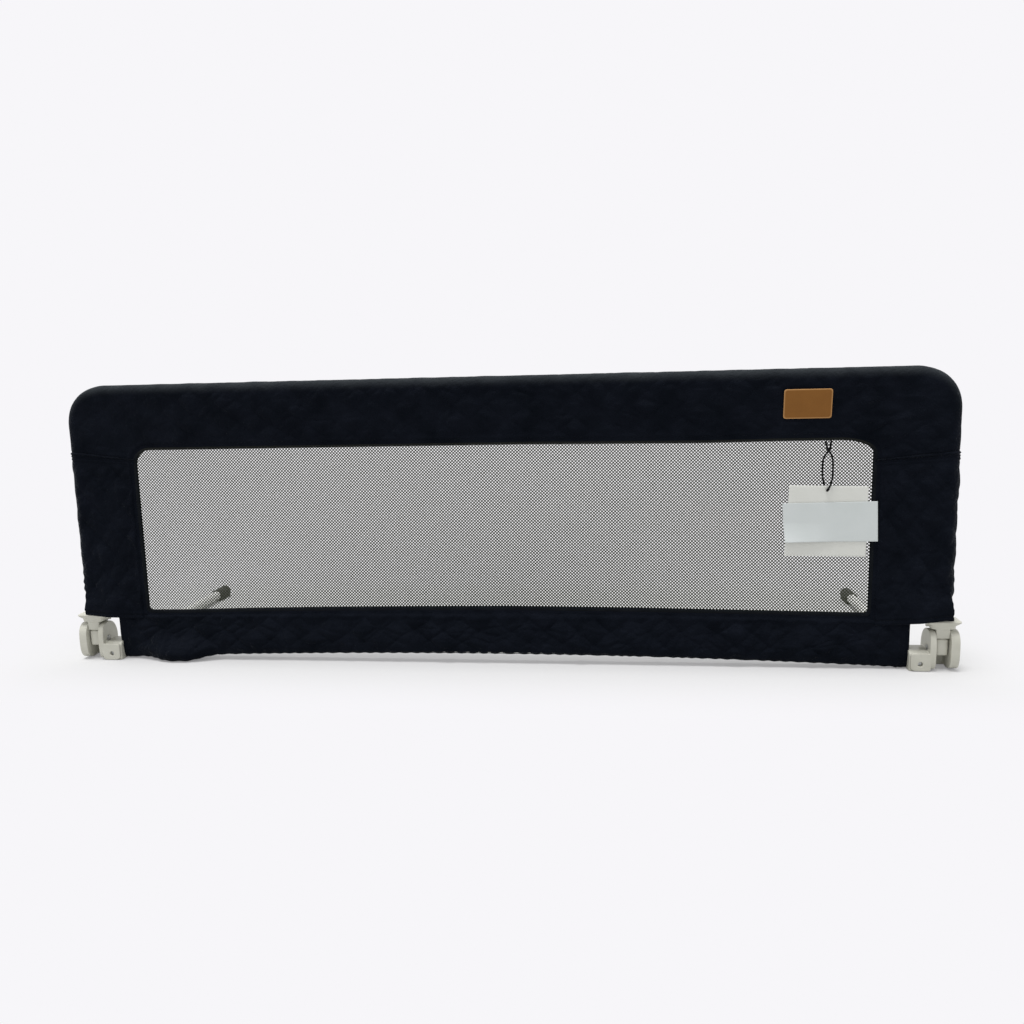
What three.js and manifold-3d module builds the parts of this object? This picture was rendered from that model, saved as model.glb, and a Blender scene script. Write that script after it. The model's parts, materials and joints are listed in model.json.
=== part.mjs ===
// Folding bed guard rail. Sizes are millimetres: X runs along the rail, -Y faces the room and +Z is up.
// The shapes are drawn about the plane of the two uprights, and the whole is then moved along Y,
// so that the origin lies under the middle of its depth, on the surface that it stands on.
import * as THREE from "three";
import { mergeGeometries, mergeVertices } from "three/addons/utils/BufferGeometryUtils.js";
import Module from "manifold-3d";

const wasm = await Module();
wasm.setup();

// Gaps and laps
const gap = 0.3; // between pieces that touch
const slideGap = 0.4; // between a sliding or turning piece and its guide
const past = 1; // how far a cut runs past the face that it opens
const trimRoom = 5; // how far cloth is drawn past the line that it is trimmed to

// Steel frame
const uprightSpacing = 1475; // between the axes of the two uprights
const topRailHeight = 482; // the top rail's axis above the floor
const frameBendRadius = 55;
const frameTubeRadius = 11;
const frameTubeWall = 1.2;
const topJoinerLength = 90;

// Hinge brackets
const pivotHeight = 36;
const pivotForward = 4; // the pivot lies this far in front of the uprights' plane
const cheekHeight = 67;
const cheekDepth = 49;
const cheekForward = 22; // the cheeks' front edge in front of the uprights' plane
const cheekReach = 35.3; // no point of a cheek lies further from the pivot
const innerCheekThickness = 10;
const outerCheekThickness = 14;
const cheekEdge = 2;
const rearWallThickness = 8.5;
const rearWallHeight = 48;
const blockReach = 52.5; // from the upright's axis to the block's inner end
const blockHeight = 34;
const blockDepth = 42;
const blockForward = 18;
const blockRound = 9;
const blockEdge = 1;
const pinAccessLength = 11; // the groove in the block that the pin goes in through

// Pivot pins and their cap nuts
const pinRadius = 4;
const pinHeadRadius = 5.5;
const pinHeadThickness = 2.6;
const pinTipInset = 1.5; // from the pin's end to the bracket's outer face
const pinSlot = 1; // width and depth of the slot in the head
const nutRadius = 6.6;
const nutThickness = 4.4;
const nutBevel = 1;

// Knuckles, which the lock collars slide on
const knuckleRadius = 10.8;
const knuckleEndRadius = 11;
const neckRadius = 7.5;
const spigotLength = 24;

// Lock collars
const collarLift = 12;
const collarSkirtFoot = 54;
const collarSkirtDepth = 29;
const collarBodyWidth = 41;
const collarBodyDepth = 32;
const collarLipWidth = 57;
const collarLipDepth = 39;
const collarRound = 7; // the corners' radius
const collarRise = 14.7; // from the cheeks' highest point to the collar's top
const collarRim = 9; // height of the flared rim
const collarFlare = 2; // height of each step of the flare
const collarLipEdge = 1.5;
const collarFlange = 3; // thickness of the inner flange that sits on the knuckle's shoulder

// Lock springs
const springWire = 0.8; // radius of the wire
const springTurns = 7;
const springSpace = 32; // from the collar's top to the foot of the frame's tube

// Lower rail
const lowerRailRadius = 9;
const lowerRailWall = 1.2;
const lowerRailHeight = 25;
const railSpigotLength = 30;
const lowerJoinerLength = 80;

// Legs
const legRadius = 10;
const legWall = 1.3;
const legInset = 35.5; // from the upright's axis to the leg's axis
const legHeight = 12.5;
const legFrontWall = 6; // plastic in front of the leg's end
const legEndPlug = 5;
const legReach = 455; // rear end of the feet behind the uprights' plane
const footLength = 50;
const footEnd = 4;
const footSoleWidth = 20;
const footEdge = 1.5;

// Screws
const screwHeadRadius = 3.5;
const screwHeadHeight = 2.2;
const screwHeadBevel = 0.7;
const screwRecessWidth = 0.9;
const screwRecessLength = 4.1;
const screwRecessDepth = 1.2;
const screwRadius = 2;
const screwLength = 9;

// Fabric cover
const fabric = 1.8; // the quilted cloth's thickness
const leftPanelWidth = 106.5; // from the left upright's axis to the window
const rightPanelWidth = 118.5; // from the window to the right upright's axis
const topBandHeight = 102; // from the window to the top rail's axis
const windowFoot = 91;
const windowCornerLow = 6;
const windowCornerLeft = 25;
const windowCornerRight = 52; // the top right corner is drawn out along the rail
const windowCornerRightDrop = 20;
const bindingWidth = 8;
const bindingThickness = 6;
const seamLeftDrop = 18; // from the window's top down to the left seam's inner end
const seamLeftRise = 9; // the seam rises this much towards the outside
const seamRightDrop = 35;
const seamRightRise = 8;
const sideHemInner = 77;
const sideHemOuter = 86;
const mouthRoom = 3; // above a lifted collar
const mouthSide = 4; // beside a collar's lip
const mouthTaper = 39; // height over which the side panels widen to take in the collars
const coverInnerRound = 20; // of the line that the cloth's faces run to, at the window's upper corners
const cavityTip = 1; // half the cover's inner depth beside the binding
const foldBelow = 24.5; // from the pivot up to the hem's top edge
const foldAbove = 29; // from the pivot up to the bottom band's lower edge
const hemFoot = 10;
const bandThickness = 13.2; // across both layers at the fold between band and hem

// Window mesh
const meshThread = 3.4;
const meshThickness = 1.2;
const meshPitch = 60; // across one diamond
const meshMargin = 2.5;

// Leather patch
const patchWidth = 75;
const patchHeight = 47;
const patchThickness = 1.2;
const patchCorner = 4;
const patchInset = 103.5; // from the window's right side to the patch's middle
const patchRise = 58.5; // from the window's top to the patch's middle

// Hang tag
const stringRadius = 1.3;
const cardThickness = 0.8;
const cardWidth = 131;
const cardHeight = 120;
const cardHoleRadius = 2.5;
const cardHoleRoom = 0.6; // above the string, which bends where it goes through
const cardHoleInset = 10.4; // from the card's upper edge to the hole's middle
const cardShift = 0.5; // from the string to the card's middle
const cardPlane = -6; // the card's middle in Y
const cardLean = 0.03; // the card hangs a little askew, in radians
const labelWidth = 147;
const labelHeight = 68;
const labelShift = 4; // from the card's middle to the label's middle
const labelDrop = 1;

// Sizes that follow from the ones above
const uprightX = uprightSpacing / 2;
const depthShift = (cheekForward - legReach) / 2;
const cheekGap = knuckleRadius + slideGap; // half the space between the cheeks
const innerCheekX = uprightX - cheekGap - innerCheekThickness;
const outerCheekX = uprightX + cheekGap;
const outerFaceX = outerCheekX + outerCheekThickness;
const blockInnerX = uprightX - blockReach;
const legX = uprightX - legInset;
const collarTop = pivotHeight + cheekReach + collarRise;
const knuckleShoulder = collarTop - collarFlange - slideGap;
const frameTubeFoot = collarTop + springSpace;
const coverRadius = frameTubeRadius + slideGap + fabric; // round the frame's tubes
const windowLeft = leftPanelWidth - uprightX;
const windowRight = uprightX - rightPanelWidth;
const windowTop = topRailHeight - topBandHeight;
const bandTop = windowFoot - bindingWidth - gap;
const bandFoot = pivotHeight + foldAbove;
const hemTop = pivotHeight + foldBelow;
const mouthFull = collarTop + collarLift + mouthRoom; // the side panels are at their fullest up to here
const mouthTop = mouthFull + mouthTaper;
const throughDepth = 2 * (cheekDepth + collarLipDepth); // for cuts through the whole cover

// Small tools for shapes
const unitX = new THREE.Vector3(1, 0, 0);
const unitY = new THREE.Vector3(0, 1, 0);
const unitZ = new THREE.Vector3(0, 0, 1);
const alongXMatrix = new THREE.Matrix4().makeBasis(unitY, unitZ, unitX);
const alongYMatrix = new THREE.Matrix4().makeBasis(unitX, unitZ, unitY.clone().negate());

// A drawing in Y and Z, pushed out along +X from the given x.
function alongX(geometry, x) {
  return geometry.applyMatrix4(alongXMatrix).translate(x, 0, 0);
}

// A drawing in X and Z, pushed out along -Y from the given y.
function alongY(geometry, y) {
  return geometry.applyMatrix4(alongYMatrix).translate(0, y, 0);
}

// A plate of a flat outline, from 0 to its thickness, with edges rounded by the given size.
function plate(shape, thickness, edge = 0, curveSegments = 8) {
  const geometry = new THREE.ExtrudeGeometry(shape, {
    depth: thickness - 2 * edge,
    bevelEnabled: edge > 0,
    bevelThickness: edge,
    bevelSize: edge,
    bevelOffset: -edge,
    bevelSegments: 1,
    curveSegments,
  });
  return geometry.translate(0, 0, edge);
}

// A round bar along X, Y or Z from a start point.
function bar(axis, start, length, radius, sides = 24) {
  const geometry = new THREE.CylinderGeometry(radius, radius, length, sides).translate(0, length / 2, 0);
  if (axis === "x") geometry.rotateZ(-Math.PI / 2);
  if (axis === "z") geometry.rotateX(Math.PI / 2);
  return geometry.translate(...start);
}

// A solid turned about Z from [radius, height] pairs that close on themselves or end on the axis.
function turned(profile, sides = 24) {
  const points = profile.map(([radius, height]) => new THREE.Vector2(radius, height));
  return outward(new THREE.LatheGeometry(points, sides).rotateX(Math.PI / 2));
}

// A turned tube between two heights.
function turnedTube(outer, inner, from, to, sides = 24) {
  return turned([[inner, from], [outer, from], [outer, to], [inner, to], [inner, from]], sides);
}

function box(x0, x1, y0, y1, z0, z1) {
  const geometry = new THREE.BoxGeometry(x1 - x0, y1 - y0, z1 - z0);
  return geometry.translate((x0 + x1) / 2, (y0 + y1) / 2, (z0 + z1) / 2);
}

// Turns the faces of a closed geometry outwards.
function outward(geometry) {
  const position = geometry.getAttribute("position");
  const index = geometry.getIndex();
  const corner = [new THREE.Vector3(), new THREE.Vector3(), new THREE.Vector3()];
  let volume = 0;
  for (let i = 0; i < index.count; i += 3) {
    corner.forEach((v, k) => v.fromBufferAttribute(position, index.getX(i + k)));
    volume += corner[0].dot(corner[1].cross(corner[2]));
  }
  if (volume > 0) return geometry;
  for (let i = 0; i < index.count; i += 3) {
    const swapped = index.getX(i);
    index.setX(i, index.getX(i + 1));
    index.setX(i + 1, swapped);
  }
  return geometry;
}

// A skin over rings of points. It closes on its first ring, as a hollow tube's does, or has two flat ends.
function skin(rings, closed) {
  const sides = rings[0].length;
  const index = [];
  const joins = closed ? rings.length : rings.length - 1;
  for (let r = 0; r < joins; r++) {
    for (let k = 0; k < sides; k++) {
      const a = r * sides + k;
      const b = r * sides + ((k + 1) % sides);
      const c = ((r + 1) % rings.length) * sides + k;
      const d = ((r + 1) % rings.length) * sides + ((k + 1) % sides);
      index.push(a, b, d, a, d, c);
    }
  }
  if (!closed) {
    const last = (rings.length - 1) * sides;
    for (let k = 1; k < sides - 1; k++) {
      index.push(0, k + 1, k, last, last + k, last + k + 1);
    }
  }
  const geometry = new THREE.BufferGeometry().setFromPoints(rings.flat());
  geometry.setIndex(index);
  return outward(geometry);
}

// A closed geometry as a solid that can be joined and cut.
function solid(geometry) {
  const bare = new THREE.BufferGeometry().setAttribute("position", geometry.getAttribute("position"));
  bare.setIndex(geometry.getIndex());
  const merged = mergeVertices(bare, 1e-4);
  const triVerts = new Uint32Array(merged.getIndex().array);
  const vertProperties = merged.getAttribute("position").array;
  return new wasm.Manifold(new wasm.Mesh({ numProp: 3, vertProperties, triVerts }));
}

function joined(...geometries) {
  return geometries.map(solid).reduce((all, next) => all.add(next));
}

function cut(body, ...tools) {
  return tools.map(solid).reduce((rest, tool) => rest.subtract(tool), body);
}

function geometryOf(body) {
  const mesh = body.getMesh();
  const geometry = new THREE.BufferGeometry();
  const corners = new Float32Array(mesh.vertProperties);
  geometry.setAttribute("position", new THREE.BufferAttribute(corners, mesh.numProp));
  geometry.setIndex(new THREE.BufferAttribute(new Uint32Array(mesh.triVerts), 1));
  const flat = geometry.toNonIndexed();
  flat.computeVertexNormals();
  return flat;
}

// Materials
function material(color, roughness, metalness = 0) {
  return new THREE.MeshStandardMaterial({ color, roughness, metalness });
}

const whitePlastic = material(0xcfcec6, 0.45);
const paintedSteel = material(0xdedfdc, 0.35, 0.2);
const zincSteel = material(0x9a9a96, 0.35, 0.9);
const blackRubber = material(0x222222, 0.85);
const navyQuilt = material(0x0f131c, 0.8);
const navyBinding = material(0x10131a, 0.75);
const greyMesh = material(0x77777a, 0.8);
const tanLeather = material(0x8a5a2b, 0.55);
const blackString = material(0x141416, 0.85);
const whiteCard = material(0xe9e9ec, 0.6);

function piece(name, geometry, look) {
  const shape = geometry.isBufferGeometry ? geometry : geometryOf(geometry);
  const mesh = new THREE.Mesh(shape, look);
  mesh.name = name;
  return mesh;
}

// A pan-head screw along +Z: the head's top is at 0 and the shank runs down to -Z.
function screw(shank) {
  const headSides = 16;
  const shankSides = 12;
  const head = turned([
    [0, 0],
    [0, -screwHeadHeight],
    [screwHeadRadius, -screwHeadHeight],
    [screwHeadRadius, -screwHeadBevel],
    [screwHeadRadius - screwHeadBevel, 0],
    [0, 0],
  ], headSides);
  const lap = screwHeadHeight / 4;
  const body = joined(head, bar("z", [0, 0, -screwHeadHeight - shank], shank + lap, screwRadius, shankSides));
  const wide = screwRecessLength / 2;
  const narrow = screwRecessWidth / 2;
  return cut(
    body,
    box(-narrow, narrow, -wide, wide, -screwRecessDepth, past),
    box(-wide, wide, -narrow, narrow, -screwRecessDepth, past),
  );
}

// One cheek's outline in Y and Z, an upright oval.
function cheekShape() {
  const centreY = cheekDepth / 2 - cheekForward;
  const outline = new THREE.Shape();
  outline.absellipse(centreY, cheekHeight / 2, cheekDepth / 2, cheekHeight / 2, 0, 2 * Math.PI);
  return outline;
}

// The block's outline in Y and Z, with rounded upper edges.
function blockShape() {
  const front = -blockForward;
  const rear = blockDepth - blockForward;
  const roundZ = blockHeight - blockRound;
  const outline = new THREE.Shape();
  outline.moveTo(front, 0);
  outline.lineTo(rear, 0);
  outline.lineTo(rear, roundZ);
  outline.absarc(rear - blockRound, roundZ, blockRound, 0, Math.PI / 2);
  outline.absarc(front + blockRound, roundZ, blockRound, Math.PI / 2, Math.PI);
  return outline;
}

// The right bracket. The left one is its mirror image. Its two cheeks are trimmed to a circle about
// the pivot, and its block ends just inside the inner cheek, out of the way of the folding collar.
function bracket() {
  const cheekSides = 10;
  const roundSides = 48;
  const smallSides = 12;
  const width = outerFaceX - innerCheekX;
  const inner = alongX(plate(cheekShape(), innerCheekThickness, cheekEdge, cheekSides), innerCheekX);
  const outer = alongX(plate(cheekShape(), outerCheekThickness, cheekEdge, cheekSides), outerCheekX);
  const reachStart = [innerCheekX - past, -pivotForward, pivotHeight];
  const reach = solid(bar("x", reachStart, width + 2 * past, cheekReach, roundSides));
  const rear = blockDepth - blockForward;
  const wallInset = cheekEdge / 2;
  const wall = box(innerCheekX + wallInset, outerFaceX - wallInset, rear - rearWallThickness, rear,
    wallInset, rearWallHeight);
  const block = alongX(plate(blockShape(), innerCheekX + gap - blockInnerX, blockEdge), blockInnerX);
  const spigotRadius = lowerRailRadius - lowerRailWall - gap;
  const spigotStart = [blockInnerX - railSpigotLength, 0, lowerRailHeight];
  const spigot = bar("x", spigotStart, railSpigotLength + 2 * blockEdge, spigotRadius);
  const body = joined(inner, outer).intersect(reach).add(joined(wall, block, spigot));

  const legBore = bar("y", [legX, legFrontWall - blockForward, legHeight], blockDepth, legRadius + gap);
  const screwStart = [legX, -blockForward - past, legHeight];
  const screwBore = bar("y", screwStart, blockDepth / 2, screwRadius + gap, smallSides);
  const screwSeat = bar("y", screwStart, screwHeadHeight + past + gap, screwHeadRadius + gap, smallSides);
  const pinBore = bar("x", reachStart, width, pinRadius + gap);
  const accessStart = [innerCheekX - pinAccessLength, -pivotForward, pivotHeight];
  const pinAccess = bar("x", accessStart, pinAccessLength + pinHeadThickness + gap, pinHeadRadius + gap);
  const nutSeatDepth = nutThickness + gap;
  const nutStart = [outerFaceX - nutSeatDepth, -pivotForward, pivotHeight];
  const nutSeat = bar("x", nutStart, nutSeatDepth + past, nutRadius + gap);
  return cut(body, legBore, screwBore, screwSeat, pinBore, pinAccess, nutSeat, railScrewBore());
}

// Where the lower rail's screw goes up into the spigot.
function railScrewPlace() {
  return [blockInnerX - railSpigotLength / 2, 0, lowerRailHeight - lowerRailRadius];
}

function railScrewBore() {
  const sides = 12;
  const [x, y, z] = railScrewPlace();
  return bar("z", [x, y, z - past], screwLength + lowerRailWall + gap + past, screwRadius + gap, sides);
}

// The pivot pin lies along X, with its slotted head sunk in the inner cheek.
function pivotPin() {
  const neck = innerCheekX + pinHeadThickness / 2;
  const tip = outerFaceX - pinTipInset;
  const body = joined(
    bar("x", [innerCheekX, -pivotForward, pivotHeight], pinHeadThickness, pinHeadRadius),
    bar("x", [neck, -pivotForward, pivotHeight], tip - neck, pinRadius),
  );
  return cut(body, box(innerCheekX - past, innerCheekX + pinSlot,
    -pivotForward - pinSlot / 2, -pivotForward + pinSlot / 2,
    pivotHeight - pinHeadRadius, pivotHeight + pinHeadRadius));
}

// The cap nut is pressed on the pin's end, in its seat in the outer cheek.
function pivotNut() {
  const foot = outerFaceX - nutThickness;
  const cap = turned([
    [0, nutThickness],
    [nutRadius - nutBevel, nutThickness],
    [nutRadius, nutThickness - nutBevel],
    [nutRadius, 0],
    [0, 0],
  ]);
  cap.rotateY(Math.PI / 2).translate(foot, -pivotForward, pivotHeight);
  const pinDepth = nutThickness - pinTipInset + gap;
  const pinBore = bar("x", [foot - past, -pivotForward, pivotHeight], pinDepth + past, pinRadius + gap);
  return cut(solid(cap), pinBore);
}

// The knuckle: a round tongue on the pin, a neck for the lock spring and a spigot in the upright's tube.
function knuckle() {
  const roundSides = 32;
  const smallSides = 12;
  const spigotRadius = frameTubeRadius - frameTubeWall - gap;
  const spigotEnd = frameTubeFoot + spigotLength;
  const foot = pivotHeight - knuckleEndRadius - past;
  const round = turned([
    [0, foot],
    [knuckleRadius, foot],
    [knuckleRadius, knuckleShoulder],
    [neckRadius, knuckleShoulder],
    [neckRadius, frameTubeFoot],
    [spigotRadius, frameTubeFoot],
    [spigotRadius, spigotEnd],
    [0, spigotEnd],
    [0, foot],
  ], roundSides);
  round.translate(uprightX, 0, 0);
  const half = knuckleRadius + past;
  const upper = box(uprightX - half, uprightX + half, -half, half, pivotHeight, spigotEnd + past);
  const pinStart = [uprightX - half, -pivotForward, pivotHeight];
  const end = bar("x", pinStart, 2 * half, knuckleEndRadius, roundSides);
  const body = solid(round).intersect(joined(upper, end));
  const pinBore = bar("x", pinStart, 2 * half, pinRadius + gap);
  const [x, , z] = knuckleScrewPlace();
  const screwDepth = screwLength + frameTubeWall + gap + past;
  return cut(body, pinBore, bar("x", [x - past, 0, z], screwDepth, screwRadius + gap, smallSides));
}

// Where the knuckle's screw goes through the tube, on the side of the window.
function knuckleScrewPlace() {
  return [uprightX - frameTubeRadius, 0, frameTubeFoot + spigotLength / 2];
}

// A ring of points round an oblong with rounded corners, at a height.
function oblongRing(halfX, halfY, z) {
  const perCorner = 4;
  const ring = [];
  const corners = [[1, 1], [-1, 1], [-1, -1], [1, -1]];
  corners.forEach(([sx, sy], quarter) => {
    for (let k = 0; k < perCorner; k++) {
      const angle = ((quarter + k / (perCorner - 1)) * Math.PI) / 2;
      const x = uprightX + sx * (halfX - collarRound) + collarRound * Math.cos(angle);
      const y = sy * (halfY - collarRound) + collarRound * Math.sin(angle);
      ring.push(new THREE.Vector3(x, y, z));
    }
  });
  return ring;
}

// The lock collar: a flared rim to pull on, a body over the cheeks and a skirt between them.
function lockCollar() {
  const sweepSides = 64;
  const boreSides = 32;
  const bodyX = collarBodyWidth / 2;
  const bodyY = collarBodyDepth / 2;
  const lipX = collarLipWidth / 2;
  const lipY = collarLipDepth / 2;
  const rimFoot = collarTop - collarRim;
  const lipFoot = rimFoot + 2 * collarFlare;
  const shell = skin([
    oblongRing(bodyX, bodyY, pivotHeight),
    oblongRing(bodyX, bodyY, rimFoot - collarFlare),
    oblongRing(lipX - collarFlare, lipY - collarFlare / 2, rimFoot + collarFlare),
    oblongRing(lipX, lipY, lipFoot),
    oblongRing(lipX, lipY, lipFoot + collarLipEdge),
    oblongRing(bodyX + collarFlare / 2, bodyY, collarTop),
  ], false);
  const sweepStart = [uprightX - lipX, -pivotForward, pivotHeight];
  const sweep = bar("x", sweepStart, 2 * lipX, cheekReach + slideGap, sweepSides);
  const skirtX = cheekGap - slideGap;
  const skirtOuter = collarSkirtDepth / 2;
  const skirtInner = neckRadius + gap;
  const left = uprightX - skirtX;
  const right = uprightX + skirtX;
  const frontSkirt = box(left, right, -skirtOuter, -skirtInner, collarSkirtFoot, rimFoot);
  const rearSkirt = box(left, right, skirtInner, skirtOuter, collarSkirtFoot, rimFoot);
  const body = cut(solid(shell), sweep).add(joined(frontSkirt, rearSkirt));
  const boreHeight = collarTop - collarFlange - pivotHeight;
  const bore = bar("z", [uprightX, 0, pivotHeight], boreHeight, knuckleRadius + gap, boreSides);
  const neckHeight = collarTop - pivotHeight + past;
  const neckBore = bar("z", [uprightX, 0, pivotHeight], neckHeight, neckRadius + gap, boreSides);
  return cut(body, bore, neckBore);
}

// The lock spring: a helix round the neck, from the collar's top to the foot of the frame's tube.
function lockSpring() {
  const stepsPerTurn = 8;
  const sides = 5;
  const low = collarTop + gap + springWire;
  const high = frameTubeFoot - gap - springWire;
  const radius = (neckRadius + gap + springWire) / Math.cos(Math.PI / stepsPerTurn); // chords clear the neck
  const steps = springTurns * stepsPerTurn;
  const rise = (high - low) / steps;
  const rings = [];
  for (let k = 0; k <= steps; k++) {
    const angle = (2 * Math.PI * k) / stepsPerTurn;
    const ring = [];
    for (let side = 0; side < sides; side++) {
      const turn = (2 * Math.PI * side) / sides;
      const across = radius + springWire * Math.cos(turn);
      const z = low + k * rise + springWire * Math.sin(turn);
      ring.push(new THREE.Vector3(uprightX + across * Math.cos(angle), across * Math.sin(angle), z));
    }
    rings.push(ring);
  }
  console.log("lock spring: least gap between turns", leastTurnGap(rings, stepsPerTurn).toFixed(2), "mm");
  return skin(rings, false);
}

// The least distance between the points of rings that lie a turn or more apart.
function leastTurnGap(rings, stepsPerTurn) {
  let least = Infinity;
  rings.forEach((ring, k) => {
    for (const other of rings.slice(k + stepsPerTurn).flat()) {
      for (const point of ring) least = Math.min(least, point.distanceTo(other));
    }
  });
  return least;
}

// One half of the frame's tube: an upright, a bend and half of the top rail.
function frameTube() {
  const sides = 14;
  const screwSides = 12;
  const bendSteps = 6;
  const bendX = uprightX - frameBendRadius;
  const bendZ = topRailHeight - frameBendRadius;
  const stations = [{ x: uprightX, z: frameTubeFoot, out: 0 }];
  for (let k = 0; k <= bendSteps; k++) {
    const out = (k / bendSteps) * (Math.PI / 2);
    const x = bendX + frameBendRadius * Math.cos(out);
    const z = bendZ + frameBendRadius * Math.sin(out);
    stations.push({ x, z, out });
  }
  stations.push({ x: gap / 2, z: topRailHeight, out: Math.PI / 2 });
  const ringsOf = (radius) => stations.map(({ x, z, out }) => {
    const ring = [];
    for (let side = 0; side < sides; side++) {
      const turn = (2 * Math.PI * side) / sides;
      const across = radius * Math.cos(turn);
      const y = radius * Math.sin(turn);
      ring.push(new THREE.Vector3(x + across * Math.cos(out), y, z + across * Math.sin(out)));
    }
    return ring;
  });
  const outer = ringsOf(frameTubeRadius);
  const inner = ringsOf(frameTubeRadius - frameTubeWall).reverse();
  const [x, , z] = knuckleScrewPlace();
  const screwBore = bar("x", [x - past, 0, z], frameTubeWall + 2 * past, screwRadius + gap, screwSides);
  return cut(solid(skin([...outer, ...inner], true)), screwBore);
}

// The leg: a tube along Y whose front end is plugged for its screw.
function leg() {
  const front = legFrontWall - blockForward + gap;
  const length = legReach - footEnd - gap - front;
  const bore = legRadius - legWall;
  const screwHole = screwRadius + gap;
  const profile = [
    [screwHole, 0],
    [legRadius, 0],
    [legRadius, -length],
    [bore, -length],
    [bore, -legEndPlug],
    [screwHole, -legEndPlug],
    [screwHole, 0],
  ];
  return turned(profile).rotateX(Math.PI / 2).translate(legX, front, legHeight);
}

// The leg's rubber foot has a flat sole.
function legFoot() {
  const arcSides = 12;
  const tilt = Math.PI / 6; // how far below its middle the round part goes on
  const outline = new THREE.Shape();
  outline.moveTo(-footSoleWidth / 2, 0);
  outline.lineTo(footSoleWidth / 2, 0);
  outline.absarc(0, legHeight, legHeight, -tilt, Math.PI + tilt);
  const body = alongY(plate(outline, footLength, footEdge, arcSides), 0).translate(legX, legReach, 0);
  const boreStart = [legX, legReach - footLength - past, legHeight];
  return cut(solid(body), bar("y", boreStart, footLength + past - footEnd, legRadius + gap));
}

function lowerRailHalf() {
  const start = gap / 2;
  const length = blockInnerX - gap - start;
  const outer = bar("x", [start, 0, lowerRailHeight], length, lowerRailRadius);
  const innerStart = [start - past, 0, lowerRailHeight];
  const inner = bar("x", innerStart, length + 2 * past, lowerRailRadius - lowerRailWall);
  return cut(solid(outer), inner, railScrewBore());
}

// The tube that joins two halves of a rail inside them, along X at a height.
function joiner(tubeRadius, wall, length, height) {
  const outer = tubeRadius - wall - gap;
  const tube = turnedTube(outer, outer - wall, -length / 2, length / 2);
  return tube.rotateY(Math.PI / 2).translate(0, 0, height);
}

// Everything that each end has once. The left end is built as a mirror image of the right one.
function side(name, mirror) {
  const group = new THREE.Group();
  group.scale.x = mirror;
  group.add(piece(name + "_bracket", bracket(), whitePlastic));
  group.add(piece(name + "_pivot_pin", pivotPin(), zincSteel));
  group.add(piece(name + "_pivot_nut", pivotNut(), whitePlastic));
  group.add(piece(name + "_knuckle", knuckle(), whitePlastic));
  group.add(piece(name + "_lock_collar", lockCollar(), whitePlastic));
  group.add(piece(name + "_lock_spring", lockSpring(), zincSteel));
  group.add(piece(name + "_frame_tube", frameTube(), paintedSteel));
  group.add(piece("lower_rail_" + name, lowerRailHalf(), paintedSteel));
  group.add(piece(name + "_leg", leg(), paintedSteel));
  group.add(piece(name + "_leg_foot", legFoot(), blackRubber));

  const legScrew = piece(name + "_leg_screw", screw(screwLength), zincSteel);
  legScrew.rotation.x = Math.PI / 2;
  legScrew.position.set(legX, -blockForward, legHeight);
  group.add(legScrew);

  const railScrew = piece(name + "_rail_screw", screw(screwLength), zincSteel);
  const [railX, railY, railZ] = railScrewPlace();
  railScrew.rotation.x = Math.PI;
  railScrew.position.set(railX, railY, railZ - screwHeadHeight - gap);
  group.add(railScrew);

  const knuckleScrew = piece(name + "_knuckle_screw", screw(screwLength), zincSteel);
  const [screwX, screwY, screwZ] = knuckleScrewPlace();
  knuckleScrew.rotation.y = -Math.PI / 2;
  knuckleScrew.position.set(screwX - screwHeadHeight - gap, screwY, screwZ);
  group.add(knuckleScrew);
  return group;
}

// The window's outline in X and Z, grown outwards by the given amount.
function windowShape(grow) {
  const left = windowLeft - grow;
  const right = windowRight + grow;
  const foot = windowFoot - grow;
  const top = windowTop + grow;
  const low = windowCornerLow + grow;
  const cornerLeft = windowCornerLeft + grow;
  const wide = windowCornerRight + grow;
  const drop = windowCornerRightDrop + grow;
  const outline = new THREE.Shape();
  outline.absarc(left + low, foot + low, low, Math.PI, 1.5 * Math.PI);
  outline.absarc(right - low, foot + low, low, 1.5 * Math.PI, 2 * Math.PI);
  outline.absellipse(right - wide, top - drop, wide, drop, 0, Math.PI / 2);
  outline.absarc(left + cornerLeft, top - cornerLeft, cornerLeft, Math.PI / 2, Math.PI);
  return outline;
}

// Half the cover's depth round the uprights, which grows towards its lower mouth.
function mouthDepth(z) {
  const full = collarLipDepth / 2 + slideGap + fabric;
  const share = THREE.MathUtils.clamp((mouthTop - z) / mouthTaper, 0, 1);
  return coverRadius + share * (full - coverRadius);
}

// The height and the distances from the middle of the line that the cloth's faces run to. It lies under
// the binding, so that the cloth can be trimmed to the binding's edge.
const innerLineTop = windowTop + bindingWidth - trimRoom;
const innerLineLeft = bindingWidth - trimRoom - windowLeft;
const innerLineRight = bindingWidth - trimRoom + windowRight;

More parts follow.
